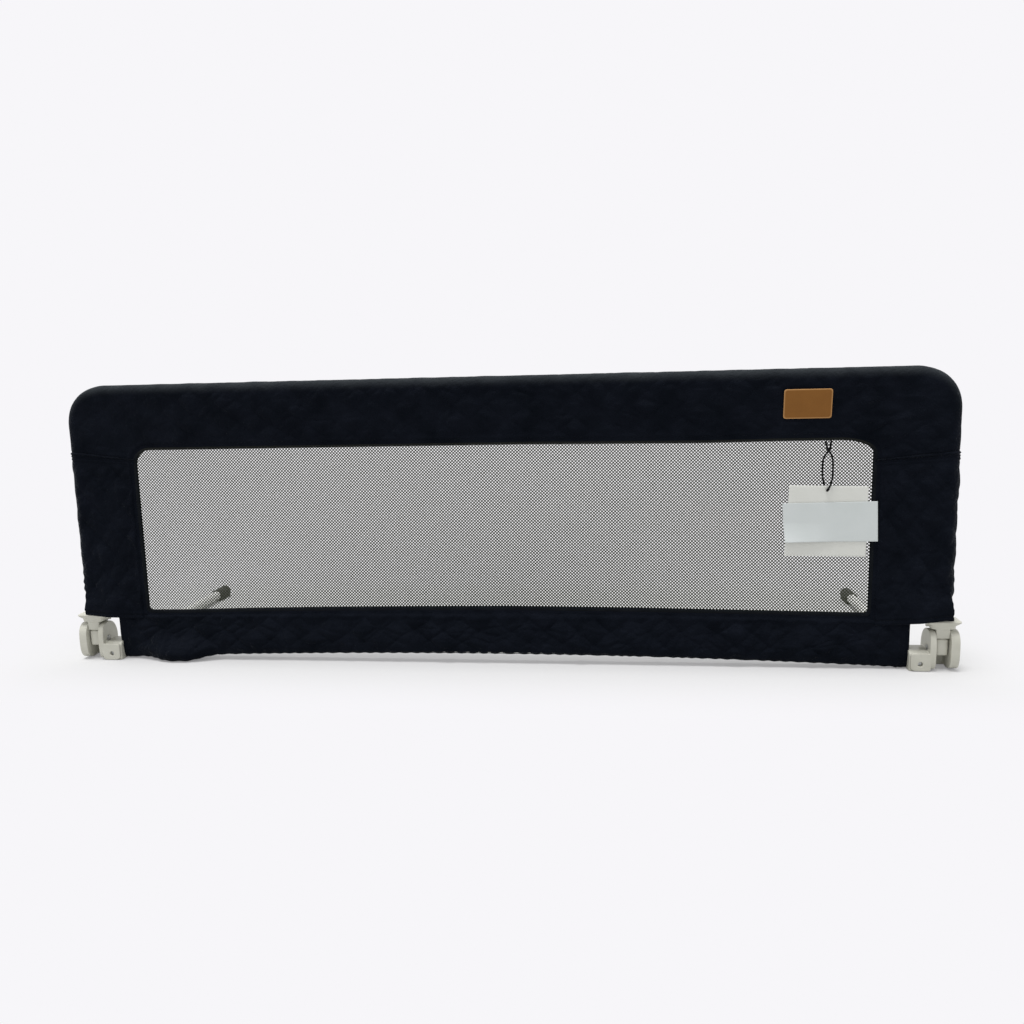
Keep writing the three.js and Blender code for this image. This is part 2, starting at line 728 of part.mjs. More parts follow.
// The cover's stations from the left hem over the top to the right hem. Each has a place on the tube's axis,
// the tube's outward direction there and the place beside the window that its cloth runs to.
function coverStations(below) {
  const bendSteps = 6;
  const bendX = uprightX - frameBendRadius;
  const bendZ = topRailHeight - frameBendRadius;
  const half = (mirror, innerLine) => {
    const station = (x, z, out, insideX, insideZ) => ({
      tube: new THREE.Vector2(mirror * x, z),
      out: new THREE.Vector2(mirror * Math.cos(out), Math.sin(out)),
      inside: new THREE.Vector2(mirror * insideX, insideZ),
    });
    const heights = [sideHemInner - below, mouthFull, mouthTop];
    const stations = heights.map((z) => station(uprightX, z, 0, innerLine, z));
    for (let k = 0; k <= bendSteps; k++) {
      const out = (k / bendSteps) * (Math.PI / 2);
      const x = Math.cos(out);
      const z = Math.sin(out);
      stations.push(station(
        bendX + frameBendRadius * x,
        bendZ + frameBendRadius * z,
        out,
        innerLine - coverInnerRound * (1 - x),
        innerLineTop - coverInnerRound * (1 - z),
      ));
    }
    return stations;
  };
  return [...half(-1, innerLineLeft), ...half(1, innerLineRight).reverse()];
}

// The cover's form, or with a thickness of cloth its cavity: a rounded edge round the tube, and two faces
// that run to the window. Below the mouth's taper the faces stand off for the collars.
function coverForm(cloth) {
  const capSteps = 6;
  const cavity = cloth > 0;
  const facets = cavity ? 1 / Math.cos(Math.PI / (2 * capSteps)) : 1; // keeps the facets clear of the tube
  const below = cavity ? 2 * trimRoom : trimRoom;
  const start = cavity ? bindingWidth : 0;
  const startDepth = cavity ? cavityTip : bindingThickness / 2;
  const fullWidth = collarLipWidth / 2 + slideGap + fabric; // inwards from the tube's axis
  const rings = coverStations(below).map(({ tube, out, inside }) => {
    const along = tube.clone().sub(inside);
    const length = along.length();
    along.normalize();
    const edge = ((coverRadius - cloth) * facets) / along.dot(out);
    const depth = (mouthDepth(tube.y) - cloth) * facets;
    const flat = length - fullWidth;
    const plainShare = (flat - start) / (length - start);
    const plainDepth = startDepth + plainShare * (coverRadius - cloth - startDepth);
    const flatDepth = plainDepth + mouthDepth(tube.y) - coverRadius;
    const section = [[start, -startDepth], [flat, -flatDepth], [length, -depth]];
    for (let k = 1; k < capSteps; k++) {
      const turn = (k / capSteps) * Math.PI;
      section.push([length + edge * Math.sin(turn), -depth * Math.cos(turn)]);
    }
    section.push([length, depth], [flat, flatDepth], [start, startDepth]);
    return section.map(([s, y]) => new THREE.Vector3(inside.x + along.x * s, y, inside.y + along.y * s));
  });
  return solid(skin(rings, false));
}

// A prism through the whole cover, of corners in X and Z.
function prism(corners) {
  const outline = new THREE.Shape(corners.map(([x, z]) => new THREE.Vector2(x, z)));
  return solid(alongY(plate(outline, throughDepth), throughDepth / 2));
}

// The three panels over the frame, cut from one hollow cover: top, left and right.
function coverPanels() {
  const window = alongY(plate(windowShape(bindingWidth + gap), throughDepth), throughDepth / 2);
  const shell = coverForm(0).subtract(coverForm(fabric));
  const mouthInner = uprightX - collarLipWidth / 2 - slideGap - mouthSide;
  const mouthY = collarLipDepth / 2 + slideGap;
  const outside = uprightX + 2 * coverRadius;
  const over = topRailHeight + 2 * coverRadius;
  const body = cut(shell, window,
    box(mouthInner, outside, -mouthY, mouthY, 0, mouthFull),
    box(-outside, -mouthInner, -mouthY, mouthY, 0, mouthFull));
  const lowInner = blockInnerX + gap;
  const seamLeft = windowTop - seamLeftDrop;
  const seamRight = windowTop - seamRightDrop;
  const half = gap / 2;
  const panel = (mirror, seam, rise) => prism([
    [0, bandTop + gap],
    [mirror * lowInner, bandTop + gap],
    [mirror * lowInner, sideHemInner],
    [mirror * (uprightX + coverRadius), sideHemOuter],
    [mirror * outside, sideHemOuter],
    [mirror * outside, seam + rise - half],
    [mirror > 0 ? windowRight + bindingWidth : windowLeft - bindingWidth, seam - half],
    [0, seam - half],
  ]);
  const top = prism([
    [-outside, seamLeft + seamLeftRise + half],
    [windowLeft - bindingWidth, seamLeft + half],
    [0, seamLeft + half],
    [0, seamRight + half],
    [windowRight + bindingWidth, seamRight + half],
    [outside, seamRight + seamRightRise + half],
    [outside, over],
    [-outside, over],
  ]);
  return {
    top: body.intersect(top),
    left: body.intersect(panel(-1, seamLeft, seamLeftRise)),
    right: body.intersect(panel(1, seamRight, seamRightRise)),
  };
}

// A strip of cloth of a section in Y and Z, between the two brackets' blocks.
function clothStrip(section) {
  const outline = new THREE.Shape(section.map(([y, z]) => new THREE.Vector2(y, z)));
  const end = blockInnerX - gap;
  return alongX(plate(outline, 2 * end), -end);
}

// The bottom band, which folds with the guard: two layers that meet under the window.
function coverBand() {
  const top = bindingThickness / 2;
  const half = bandThickness / 2;
  const shut = bandTop - fabric;
  return clothStrip([
    [-top, bandTop],
    [-half, bandFoot],
    [-half + fabric, bandFoot],
    [-gap, shut],
    [gap, shut],
    [half - fabric, bandFoot],
    [half, bandFoot],
    [top, bandTop],
  ]);
}

// The hem, which stays with the lower rail that it is wrapped round.
function coverHem() {
  const steps = 8;
  const topHalf = bandThickness / 2 + gap;
  const round = (cloth) => {
    const half = lowerRailRadius + slideGap + fabric - cloth;
    const drop = lowerRailHeight - hemFoot - cloth;
    const points = [];
    for (let k = 0; k <= steps; k++) {
      const turn = (k / steps) * Math.PI;
      points.push([-half * Math.cos(turn), lowerRailHeight - drop * Math.sin(turn)]);
    }
    return points;
  };
  const outside = [[-topHalf, hemTop], ...round(0), [topHalf, hemTop]];
  const inside = [[topHalf - fabric, hemTop], ...round(fabric).reverse(), [fabric - topHalf, hemTop]];
  return clothStrip([...outside, ...inside]);
}

// The binding sewn round the window.
function windowBinding() {
  const arcSides = 5;
  const outline = windowShape(bindingWidth);
  outline.holes.push(windowShape(0));
  return alongY(plate(outline, bindingThickness, 0, arcSides), bindingThickness / 2);
}

// The mesh: one thin sheet with diamond gaps between slanting threads.
function windowMesh() {
  const arcSides = 5;
  const roomDepth = 3 * meshThickness;
  const sheet = alongY(plate(windowShape(-gap), meshThickness, 0, arcSides), meshThickness / 2);
  const room = alongY(plate(windowShape(-gap - meshMargin), roomDepth, 0, arcSides), roomDepth / 2);
  const reach = meshPitch / 2 - meshThread / Math.SQRT2;
  const columns = Math.floor((windowRight - windowLeft) / meshPitch);
  const rows = Math.floor((windowTop - windowFoot) / meshPitch);
  const middleX = (windowLeft + windowRight) / 2;
  const middleZ = (windowFoot + windowTop) / 2;
  const gaps = [];
  for (let row = -rows; row <= rows; row++) {
    for (let column = -columns; column <= columns; column++) {
      if ((row + column) % 2 !== 0) continue;
      const x = middleX + (column * meshPitch) / 2;
      const z = middleZ + (row * meshPitch) / 2;
      gaps.push(new THREE.CylinderGeometry(reach, reach, 2 * meshThickness, 4).translate(x, 0, z));
    }
  }
  return solid(sheet).subtract(solid(mergeGeometries(gaps)).intersect(solid(room)));
}

// The patch lies on the top band's front face, which leans back towards the window.
function leatherPatch() {
  const arcSides = 3;
  const x = patchWidth / 2 - patchCorner;
  const z = patchHeight / 2 - patchCorner;
  const outline = new THREE.Shape();
  outline.absarc(x, z, patchCorner, 0, Math.PI / 2);
  outline.absarc(-x, z, patchCorner, Math.PI / 2, Math.PI);
  outline.absarc(-x, -z, patchCorner, Math.PI, 1.5 * Math.PI);
  outline.absarc(x, -z, patchCorner, 1.5 * Math.PI, 2 * Math.PI);
  const patch = piece("leather_patch", alongY(plate(outline, patchThickness, 0, arcSides), 0), tanLeather);
  const slope = (coverRadius - bindingThickness / 2) / (topRailHeight - innerLineTop);
  const patchZ = windowTop + patchRise;
  const faceY = -bindingThickness / 2 - (patchZ - innerLineTop) * slope;
  patch.rotation.x = Math.atan(slope);
  patch.position.set(windowRight - patchInset, faceY - gap, patchZ);
  return patch;
}

// The tag's string, in order: out of the binding, across to the front, through the card's hole and back
// behind it.
const stringPoints = [
  [546.3, -2.2, 378.2], [546.4, -3, 375], [547.4, -6, 369.5], [549.8, -8.7, 364.5], [552.8, -9.7, 359.5],
  [555.2, -10, 353], [556.6, -10.1, 345], [557, -10.2, 335], [557, -10.2, 325], [556.2, -10.2, 315],
  [553.8, -10.4, 307], [551, -9.9, 300.8], [550, -6.2, 298], [549, -2.6, 300.8], [546.6, -2.5, 306.5],
  [544.4, -2.5, 314], [543.2, -2.8, 325], [543, -3, 335], [543.8, -3.1, 345], [546, -3.2, 353],
  [549.2, -3.2, 359.5], [552.4, -3, 364.5], [554.9, -2.7, 370], [555.8, -2.2, 375], [555.8, -2.2, 378.2],
];
const stringInHole = stringPoints[12];

function tagString() {
  const sides = 8;
  const stepsPerPoint = 2;
  const points = stringPoints.map((p) => new THREE.Vector3(...p));
  const section = [];
  for (let k = 0; k < sides; k++) {
    const turn = (2 * Math.PI * k) / sides;
    section.push(new THREE.Vector2(stringRadius * Math.cos(turn), stringRadius * Math.sin(turn)));
  }
  return new THREE.ExtrudeGeometry(new THREE.Shape(section), {
    extrudePath: new THREE.CatmullRomCurve3(points, false, "centripetal"),
    steps: stringPoints.length * stepsPerPoint,
  });
}

// The middle of the card's hole, and of the card that hangs from it, in X and Z.
const cardHole = new THREE.Vector2(
  stringInHole[0],
  stringInHole[2] + stringRadius + cardHoleRoom - cardHoleRadius,
);
const cardCentre = new THREE.Vector2(cardHole.x + cardShift, cardHole.y + cardHoleInset - cardHeight / 2);
const labelCentre = new THREE.Vector2(cardCentre.x + labelShift, cardCentre.y - labelDrop);

// A flat card that hangs askew about its middle, with the string's hole where it has one.
function card(width, height, centre, y, hole) {
  const arcSides = 6;
  const corners = [[-1, -1], [1, -1], [1, 1], [-1, 1]].map(([sx, sz]) => {
    const corner = new THREE.Vector2((sx * width) / 2, (sz * height) / 2);
    return corner.add(centre).rotateAround(centre, -cardLean);
  });
  const outline = new THREE.Shape(corners);
  if (hole) outline.holes.push(new THREE.Path().absarc(hole.x, hole.y, cardHoleRadius, 0, 2 * Math.PI));
  return alongY(plate(outline, cardThickness, 0, arcSides), y + cardThickness / 2);
}

// The whole rail
const rail = new THREE.Group();
rail.position.y = depthShift;
rail.add(side("right", 1), side("left", -1));

const topJoiner = joiner(frameTubeRadius, frameTubeWall, topJoinerLength, topRailHeight);
rail.add(piece("top_joiner", topJoiner, paintedSteel));
const lowerJoiner = joiner(lowerRailRadius, lowerRailWall, lowerJoinerLength, lowerRailHeight);
rail.add(piece("lower_rail_joiner", lowerJoiner, paintedSteel));

const panels = coverPanels();
rail.add(piece("cover_top", panels.top, navyQuilt));
rail.add(piece("cover_left", panels.left, navyQuilt));
rail.add(piece("cover_right", panels.right, navyQuilt));
rail.add(piece("cover_band", coverBand(), navyQuilt));
rail.add(piece("cover_hem", coverHem(), navyQuilt));
rail.add(piece("window_binding", windowBinding(), navyBinding));
rail.add(piece("window_mesh", windowMesh(), greyMesh));
rail.add(leatherPatch());

const tagCard = card(cardWidth, cardHeight, cardCentre, cardPlane, cardHole);
const labelPlane = cardPlane - cardThickness - gap;
const tagLabel = card(labelWidth, labelHeight, labelCentre, labelPlane);
rail.add(piece("tag_string", tagString(), blackString));
rail.add(piece("tag_card", tagCard, whiteCard));
rail.add(piece("tag_label", tagLabel, whiteCard));

export default rail;
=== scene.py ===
# A folding bed guard rail: a quilted cover with a mesh window on a steel frame, held by two moulded brackets.
import json
import math

import bmesh
import bpy
import numpy as np
from mathutils import Matrix, Vector


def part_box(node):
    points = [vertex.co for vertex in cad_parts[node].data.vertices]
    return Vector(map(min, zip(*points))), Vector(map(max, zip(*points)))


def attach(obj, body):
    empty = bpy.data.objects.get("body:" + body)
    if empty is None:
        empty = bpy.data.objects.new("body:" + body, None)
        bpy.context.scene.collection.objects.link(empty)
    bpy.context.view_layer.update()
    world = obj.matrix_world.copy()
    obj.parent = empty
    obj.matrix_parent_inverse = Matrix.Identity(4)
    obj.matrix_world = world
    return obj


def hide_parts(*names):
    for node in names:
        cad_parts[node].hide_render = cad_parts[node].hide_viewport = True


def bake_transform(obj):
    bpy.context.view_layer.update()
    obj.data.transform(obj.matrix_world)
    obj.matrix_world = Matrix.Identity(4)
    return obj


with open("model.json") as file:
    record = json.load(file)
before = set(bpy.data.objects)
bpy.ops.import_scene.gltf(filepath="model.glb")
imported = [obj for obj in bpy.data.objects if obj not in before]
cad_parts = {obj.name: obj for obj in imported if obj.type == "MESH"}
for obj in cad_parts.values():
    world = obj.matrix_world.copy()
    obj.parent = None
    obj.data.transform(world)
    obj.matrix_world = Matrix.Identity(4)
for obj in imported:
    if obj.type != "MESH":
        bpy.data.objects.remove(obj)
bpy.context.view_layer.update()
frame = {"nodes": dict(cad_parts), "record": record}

# Places taken from the frame, in metres.
tube_low, tube_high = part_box("right_frame_tube")
rail_low, rail_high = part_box("lower_rail_right")
binding_low, binding_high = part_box("window_binding")
hem_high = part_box("cover_hem")[1]
patch_low, patch_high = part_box("leather_patch")
bracket_low, bracket_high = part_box("right_bracket")
pin_low, pin_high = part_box("right_pivot_pin")

TUBE_RADIUS = 0.011
BEND_RADIUS = 0.055
MID_Y = (tube_low.y + tube_high.y) / 2
UPRIGHT_X = tube_high.x - TUBE_RADIUS
TOP_Z = tube_high.z - TUBE_RADIUS
RAIL_Z = (rail_low.z + rail_high.z) / 2
BINDING_WIDTH = 0.008
BINDING_HALF = (binding_high.y - binding_low.y) / 2
CLOTH_HALF = BINDING_HALF - 0.0006  # where the cloth meets the binding, from the middle plane
WINDOW_EASE = 0.0023  # how far the sewn window is wider on each side than the binding's solid leaves it
WINDOW_LEFT = binding_low.x + BINDING_WIDTH - WINDOW_EASE
WINDOW_RIGHT = binding_high.x - BINDING_WIDTH + WINDOW_EASE
WINDOW_FOOT = binding_low.z + BINDING_WIDTH + 0.0015
WINDOW_TOP = binding_high.z - BINDING_WIDTH
CORNER_LOW = 0.006  # radii of the window's corners
CORNER_LEFT = 0.025
CORNER_RIGHT = 0.052
CORNER_RIGHT_DROP = 0.020  # the upper right corner's radius in height

# The cover.
COVER_RADIUS = 0.0125  # of the cloth's face round the top tube, without its puffs
SIDE_RADIUS = 0.0152  # the same round the uprights, where the cover is looser
CLOTH_THICKNESS = 0.0012
TUCK = 0.003  # how far the cloth goes in under the binding
CLOTH_STEP = 0.0022  # between the rows of the cloth's mesh
FINE_STEP = 0.0007  # the same near seams
SEAM_ROWS = (0.0026, 0.0074)  # the two rows of topstitching, from a seam
PUFF = 0.0041  # height of the quilting
SEAM_LEFT = (0.362, 0.371)  # height of the upper seams at the window and at the edge
SEAM_RIGHT = (0.345, 0.353)
HEM_LEFT = (0.0745, 0.0875)  # height of the side panels' hems at the window and at the edge
HEM_RIGHT = (0.0715, 0.0862)
FLAP_HALF = 0.0230  # half depth of the side panels round the collars
FLAP_ROUND = 0.0012  # radius of their corners there
FLAP_DRAWN_IN = (0.0078, 0.0028)  # how far the flaps' outer edge is drawn in, on the left and on the right
FLAP_KNEE = 0.700  # where the panels are at their full depth, from the middle
FLAP_CORNER_STEPS = 3
MOUTH_FULL = 0.101  # the panels have their full depth below this, and none above the next height
MOUTH_TOP = 0.140
MOUTH_OPEN = 0.1045  # their outer wall is open below this, for the lifted collars
BAND_CELL = (0.058, 0.0405)  # width and height of the quilting's diamonds
PANEL_CELL = (0.0445, 0.056)
QUILT_SEEDS = (11, 31, 47, 63)  # of the top part, the left panel, the right panel and the band


# Materials

def feed(tree, socket, value):
    """Links a node or an output into a socket, or sets the socket's own value."""
    if isinstance(value, bpy.types.Node):
        value = value.outputs[0]
    if isinstance(value, bpy.types.NodeSocket):
        tree.links.new(value, socket)
    else:
        socket.default_value = value


def add_node(tree, kind, *inputs, **values):
    """A node with its first inputs in order, and its settings and other inputs by name."""
    made = tree.nodes.new("ShaderNode" + kind)
    for name, value in values.items():
        if hasattr(made, name):
            setattr(made, name, value)
        else:
            feed(tree, made.inputs[name.replace("_", " ")], value)
    for socket, value in zip(made.inputs, inputs):
        feed(tree, socket, value)
    return made


def math_node(tree, operation, *inputs):
    return add_node(tree, "Math", *inputs, operation=operation)


def srgb(red, green, blue):
    """A colour given as it looks, in steps of 255."""
    def linear(c):
        c /= 255
        return c / 12.92 if c <= 0.04045 else ((c + 0.055) / 1.055) ** 2.4
    return (linear(red), linear(green), linear(blue), 1)


def tones(tree, share, dark, light, low=0.3, high=0.7):
    """A colour between two tones by a share, of which the part from low to high counts."""
    made = add_node(tree, "ValToRGB", share)
    for element, position, colour in zip(made.color_ramp.elements, (low, high), (dark, light)):
        element.position = position
        element.color = colour
    return made


# A texture is a function that adds it to a tree and returns its height.

def texture(kind, output, **values):
    """A texture in the object's own coordinates."""
    def added(tree):
        place = add_node(tree, "TexCoord").outputs["Object"]
        return add_node(tree, kind, Vector=place, **values).outputs[output]
    return added


def noise(scale, detail, roughness=0.5):
    return texture("TexNoise", "Fac", Scale=scale, Detail=detail, Roughness=roughness)


def cells(scale):
    return texture("TexVoronoi", "Distance", Scale=scale)


def cloth_part(tree, axis):
    """One of the cloth's own coordinates: its place across, the share of painted highlight that it takes, and
    its place in height.
    """
    cloth = add_node(tree, "Attribute", attribute_name="cloth").outputs["Vector"]
    return add_node(tree, "SeparateXYZ", cloth).outputs[axis]


def weave(pitch):
    """A plain weave with that pitch, in the cloth's own coordinates."""
    def added(tree):
        turns = [math_node(tree, "MULTIPLY", cloth_part(tree, axis), 2 * math.pi / pitch) for axis in "XZ"]
        return math_node(tree, "MULTIPLY", *(math_node(tree, "SINE", turn) for turn in turns))
    return added


# The share of a paler tone painted where the cloth faces the light from above: a painted highlight.
def painted_top_highlight(tree):
    return cloth_part(tree, "Y")


def rim(tree):
    return add_node(tree, "Attribute", attribute_name="rim").outputs["Fac"]


def new_material(name, **sockets):
    """A material, its tree and its shader, with values for the shader's sockets."""
    made = bpy.data.materials.new(name)
    made.use_nodes = True
    shader = made.node_tree.nodes["Principled BSDF"]
    for socket, value in sockets.items():
        shader.inputs[socket.replace("_", " ")].default_value = value
    return made, made.node_tree, shader


MATERIALS = {}


def make_material(name, patches, dark, light, *reliefs, paler=None, **sockets):
    """
    A material whose two tones a texture mixes, with a paler one by a share of its own: a painted highlight on
    the cloth, and a paler edge on the leather. Each relief is a texture, or None for the one that mixes the
    tones, its strength and its distance, over the one before.
    """
    MATERIALS[name], tree, shader = new_material(name, **sockets)
    share = patches(tree)
    colour = tones(tree, share, srgb(*dark), srgb(*light))
    if paler:
        colour = add_node(tree, "MixRGB", paler[0](tree), colour, srgb(*paler[1]))
    feed(tree, shader.inputs["Base Color"], colour)
    below = {}
    for height, strength, distance in reliefs:
        below["Height"] = height(tree) if height else share
        below["Normal"] = add_node(tree, "Bump", Strength=strength, Distance=distance, **below)
    feed(tree, shader.inputs["Normal"], below["Normal"])


# Pale moulded plastic with a fine spark-eroded grain, slightly soiled
make_material("white_plastic", noise(28, 4), (184, 183, 171), (198, 197, 186),
              (noise(1900, 2), 0.25, 0.00012), Roughness=0.42)
# White powder coat with a faint orange peel
make_material("painted_steel", noise(620, 1), (222, 222, 218), (226, 226, 223), (None, 0.2, 0.0002),
              Roughness=0.34, Coat_Weight=0.2, Coat_Roughness=0.25)
# Bright zinc plate with spangle
make_material("zinc_steel", cells(900), (168, 170, 170), (196, 197, 195), (None, 0.15, 0.0001),
              Roughness=0.32, Metallic=1.0)
make_material("black_rubber", noise(60, 6), (56, 56, 55), (70, 70, 68), (None, 0.3, 0.0003), Roughness=0.82)
# Navy microfibre, almost black, with a soft sheen, and a paler tone painted over the top rail as a highlight
# where the light from above falls
make_material("navy_quilt", noise(22, 5), (10, 13.5, 20), (18, 21.5, 29.5),
              (noise(130, 5, 0.62), 0.9, 0.0042), (weave(0.0006), 0.35, 0.00012), paler=(painted_top_highlight, (52, 56, 59)),
              Roughness=0.6, Specular_IOR_Level=0.02,
              Sheen_Weight=0.08, Sheen_Roughness=0.25, Sheen_Tint=(0.88, 0.94, 1, 1))
# Woven tape with cross ribs, with a paler tone painted along the window's top as a highlight where the light
# from above falls
make_material("navy_binding", noise(40, 4), (13, 16, 20), (20, 23, 27), (weave(0.0011), 0.5, 0.0003),
              paler=(painted_top_highlight, (30, 31, 30)), Roughness=0.55, Specular_IOR_Level=0.04,
              Sheen_Weight=0.08, Sheen_Roughness=0.3)
# Grey knitted polyester net
make_material("grey_mesh", noise(900, 2), (44, 48, 34), (58, 62, 46), (None, 0.4, 0.0003),
              Roughness=0.75, Specular_IOR_Level=0.2)
# Smooth tan leather with pores, unevenly dark, paler round its edge
make_material("tan_leather", noise(34, 6, 0.6), (123, 81, 35), (129, 86, 38), (cells(750), 0.25, 0.0004),
              paler=(rim, (176, 132, 84)), Roughness=0.62, Specular_IOR_Level=0.15)
make_material("black_string", noise(2500, 3), (8, 8, 9), (20, 20, 22), (None, 0.4, 0.0002),
              Roughness=0.8, Specular_IOR_Level=0.1, Sheen_Weight=0.05)
# Coated card, faintly uneven
for card, dark, light in (("white_card", (208, 209, 203), (214, 215, 210)),
                          ("label_card", (197, 203, 202), (203, 208, 208))):
    make_material(card, noise(18, 5), dark, light, (noise(1400, 3), 0.12, 0.0001), Roughness=0.48)


# Making and placing pieces

def link(made):
    bpy.context.scene.collection.objects.link(made)


def new_piece(name, mesh, slot, body=None, replaces=(), material=None):
    """An object from a mesh with its material, on its body, standing for the nodes that it replaces."""
    made = bpy.data.objects.new(name, mesh)
    link(made)
    mesh.materials.clear()
    mesh.materials.append(MATERIALS[material or slot])
    if body:
        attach(made, body)
    if replaces:
        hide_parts(*replaces)
    return made


def new_mesh(name, points, faces, cloth=None, smooth=True):
    """A mesh, with the cloth's coordinates stored on it where they are given."""
    mesh = bpy.data.meshes.new(name)
    mesh.from_pydata(np.reshape(points, (-1, 3)).tolist(), [], faces)
    if cloth is not None:
        mesh.attributes.new("cloth", "FLOAT_VECTOR", "POINT").data.foreach_set(
            "vector", cloth.astype(np.float32).ravel())
    mesh.polygons.foreach_set("use_smooth", np.broadcast_to(smooth, len(faces)).tolist())
    mesh.update()
    return mesh


def sheet_mesh(name, points, cloth, keep=None):
    """A mesh from rows of points, or from those of its quads that are kept. Its faces look to the front."""
    index = np.arange(points[..., 0].size).reshape(points.shape[:2])
    quads = np.stack([index[:-1, :-1], index[1:, :-1], index[1:, 1:], index[:-1, 1:]], -1)
    if front_sign(points) < 0:
        quads = quads[..., ::-1]
    quads = quads[keep] if keep is not None else quads.reshape(-1, 4)
    used, place = np.unique(quads, return_inverse=True)
    points, cloth = (grid.reshape(-1, 3)[used] for grid in (points, cloth))
    return new_mesh(name, points, place.reshape(-1, 4).tolist(), cloth)


def recalculated_normals(mesh):
    """The mesh with its faces looking outwards."""
    shape = bmesh.new()
    shape.from_mesh(mesh)
    bmesh.ops.recalc_face_normals(shape, faces=shape.faces)
    shape.to_mesh(mesh)
    shape.free()
    return mesh


def grid_normals(points):
    normals = np.cross(np.gradient(points, axis=0), np.gradient(points, axis=1))
    return normals / np.maximum(np.linalg.norm(normals, axis=-1, keepdims=True), 1e-12)


def front_sign(points):
    """1 if the rows' own normals look to the front in the first half of the columns, and -1 if not."""
    half = points.shape[1] // 2
    return 1 if grid_normals(points)[:, :half, 1].mean() < 0 else -1


def outward_normals(points):
    return grid_normals(points) * front_sign(points)


def add_cloth(name, skin, cloth, body, replaces, keep=None):
    """A piece of the quilted cloth, with its thickness behind its face."""
    made = new_piece(name, sheet_mesh(name, skin, cloth, keep), "navy_quilt", body, replaces)
    thick = made.modifiers.new("thickness", "SOLIDIFY")
    thick.thickness = CLOTH_THICKNESS
    thick.offset = -1
    with bpy.context.temp_override(object=made, active_object=made, selected_objects=[made]):
        bpy.ops.object.modifier_apply(modifier=thick.name)
    return made


def unit(vectors):
    return vectors / np.linalg.norm(vectors, axis=-1, keepdims=True)


def run_along(line):
    """How far along a line each of its points lies."""
    return np.concatenate([[0], np.cumsum(np.linalg.norm(np.diff(line, axis=0), axis=1))])


def at_runs(wanted, runs, line):
    """The points of a line that lie so far along it."""
    return np.stack([np.interp(wanted, runs, column) for column in line.T], 1)


def smoothstep(value, low, high):
    t = np.clip((value - low) / (high - low), 0, 1)
    return t * t * (3 - 2 * t)


def scatter(*parts):
    """A number from 0 to 1 that looks random, the same for the same whole numbers."""
    total = sum(part * weight for part, weight in zip(parts, (127.1, 311.7, 74.7, 19.3)))
    value = np.sin(total) * 43758.5453
    return value - np.floor(value)


def smooth_noise(x, y, size, seed=0):
    """Soft noise from -1 to 1 whose lumps are about that size."""
    u, v = x / size, y / size
    i, j = np.floor(u), np.floor(v)
    s, t = u - i, v - j
    s, t = s * s * (3 - 2 * s), t * t * (3 - 2 * t)
    low = scatter(i, j, seed) * (1 - s) + scatter(i + 1, j, seed) * s
    high = scatter(i, j + 1, seed) * (1 - s) + scatter(i + 1, j + 1, seed) * s
    return 2 * (low * (1 - t) + high * t) - 1


def quilting(x, z, cell, seed):
    """Height of the quilting on the cloth: puffed diamonds that creases cross, in shares of a puff."""
    x = x + 0.0045 * smooth_noise(x, z, 0.045, seed + 7) + 0.0012 * smooth_noise(x, z, 0.012, seed + 9)
    z = z + 0.0035 * smooth_noise(x, z, 0.040, seed + 8) + 0.0012 * smooth_noise(x, z, 0.012, seed + 19)
    a, b = x / cell[0] + z / cell[1], x / cell[0] - z / cell[1]
    i, j = np.floor(a), np.floor(b)
    p, q = 2 * (a - i) - 1, 2 * (b - j) - 1
    pillow = ((1 - p * p) * (1 - q * q)) ** 0.75
    roof = 1 - np.maximum(np.abs(p), np.abs(q))
    full = 0.45 + 0.9 * scatter(i, j, seed)
    inner = smoothstep(np.minimum(1 - np.abs(p), 1 - np.abs(q)), 0.0, 0.35)
    dents = 0
    for k in (1, 2):
        turn = math.pi * scatter(i, j, seed + k)
        far = p * np.cos(turn) + q * np.sin(turn) + 1.1 * (scatter(i, j, seed + 10 + k) - 0.5)
        dents = dents + (0.15 + 0.35 * scatter(i, j, seed + 20 + k)) * np.exp(-(np.abs(far) / 0.20) ** 1.4)
    lumps = 0.22 * smooth_noise(x * 0.7, z * 1.3, 0.013, seed + 5)
    lumps += 0.06 * smooth_noise(x, z, 0.006, seed + 6)
    pit = np.exp(-((1 - np.abs(p)) ** 2 + (1 - np.abs(q)) ** 2) / 0.035)
    return full * (0.75 * pillow + 0.35 * roof) + inner * (lumps - dents) - 0.35 * pit


# Camera

def make_camera():
    """The photograph's view: a point in front of the rail, a little to the right, looking slightly down."""
    place = Vector((0.2123, -1.6860, 0.4924))
    yaw, pitch, roll = (math.radians(angle) for angle in (-6.89, 8.73, 1.41))
    forward = Vector((math.sin(yaw) * math.cos(pitch), math.cos(yaw) * math.cos(pitch), -math.sin(pitch)))
    level = Vector((math.cos(yaw), -math.sin(yaw), 0))
    down = forward.cross(level)
    across = math.cos(roll) * level + math.sin(roll) * down
    up = math.sin(roll) * level - math.cos(roll) * down
    data = bpy.data.cameras.new("photo_view")
    data.lens = 30.95
    data.sensor_width = 36
    made = bpy.data.objects.new("photo_view", data)
    link(made)
    axes = Matrix((across, up, -forward)).transposed()
    made.matrix_world = Matrix.Translation(place) @ axes.to_4x4()
    bpy.context.scene.camera = made


# The tag's string and cards

STRING_RADIUS = 0.0015
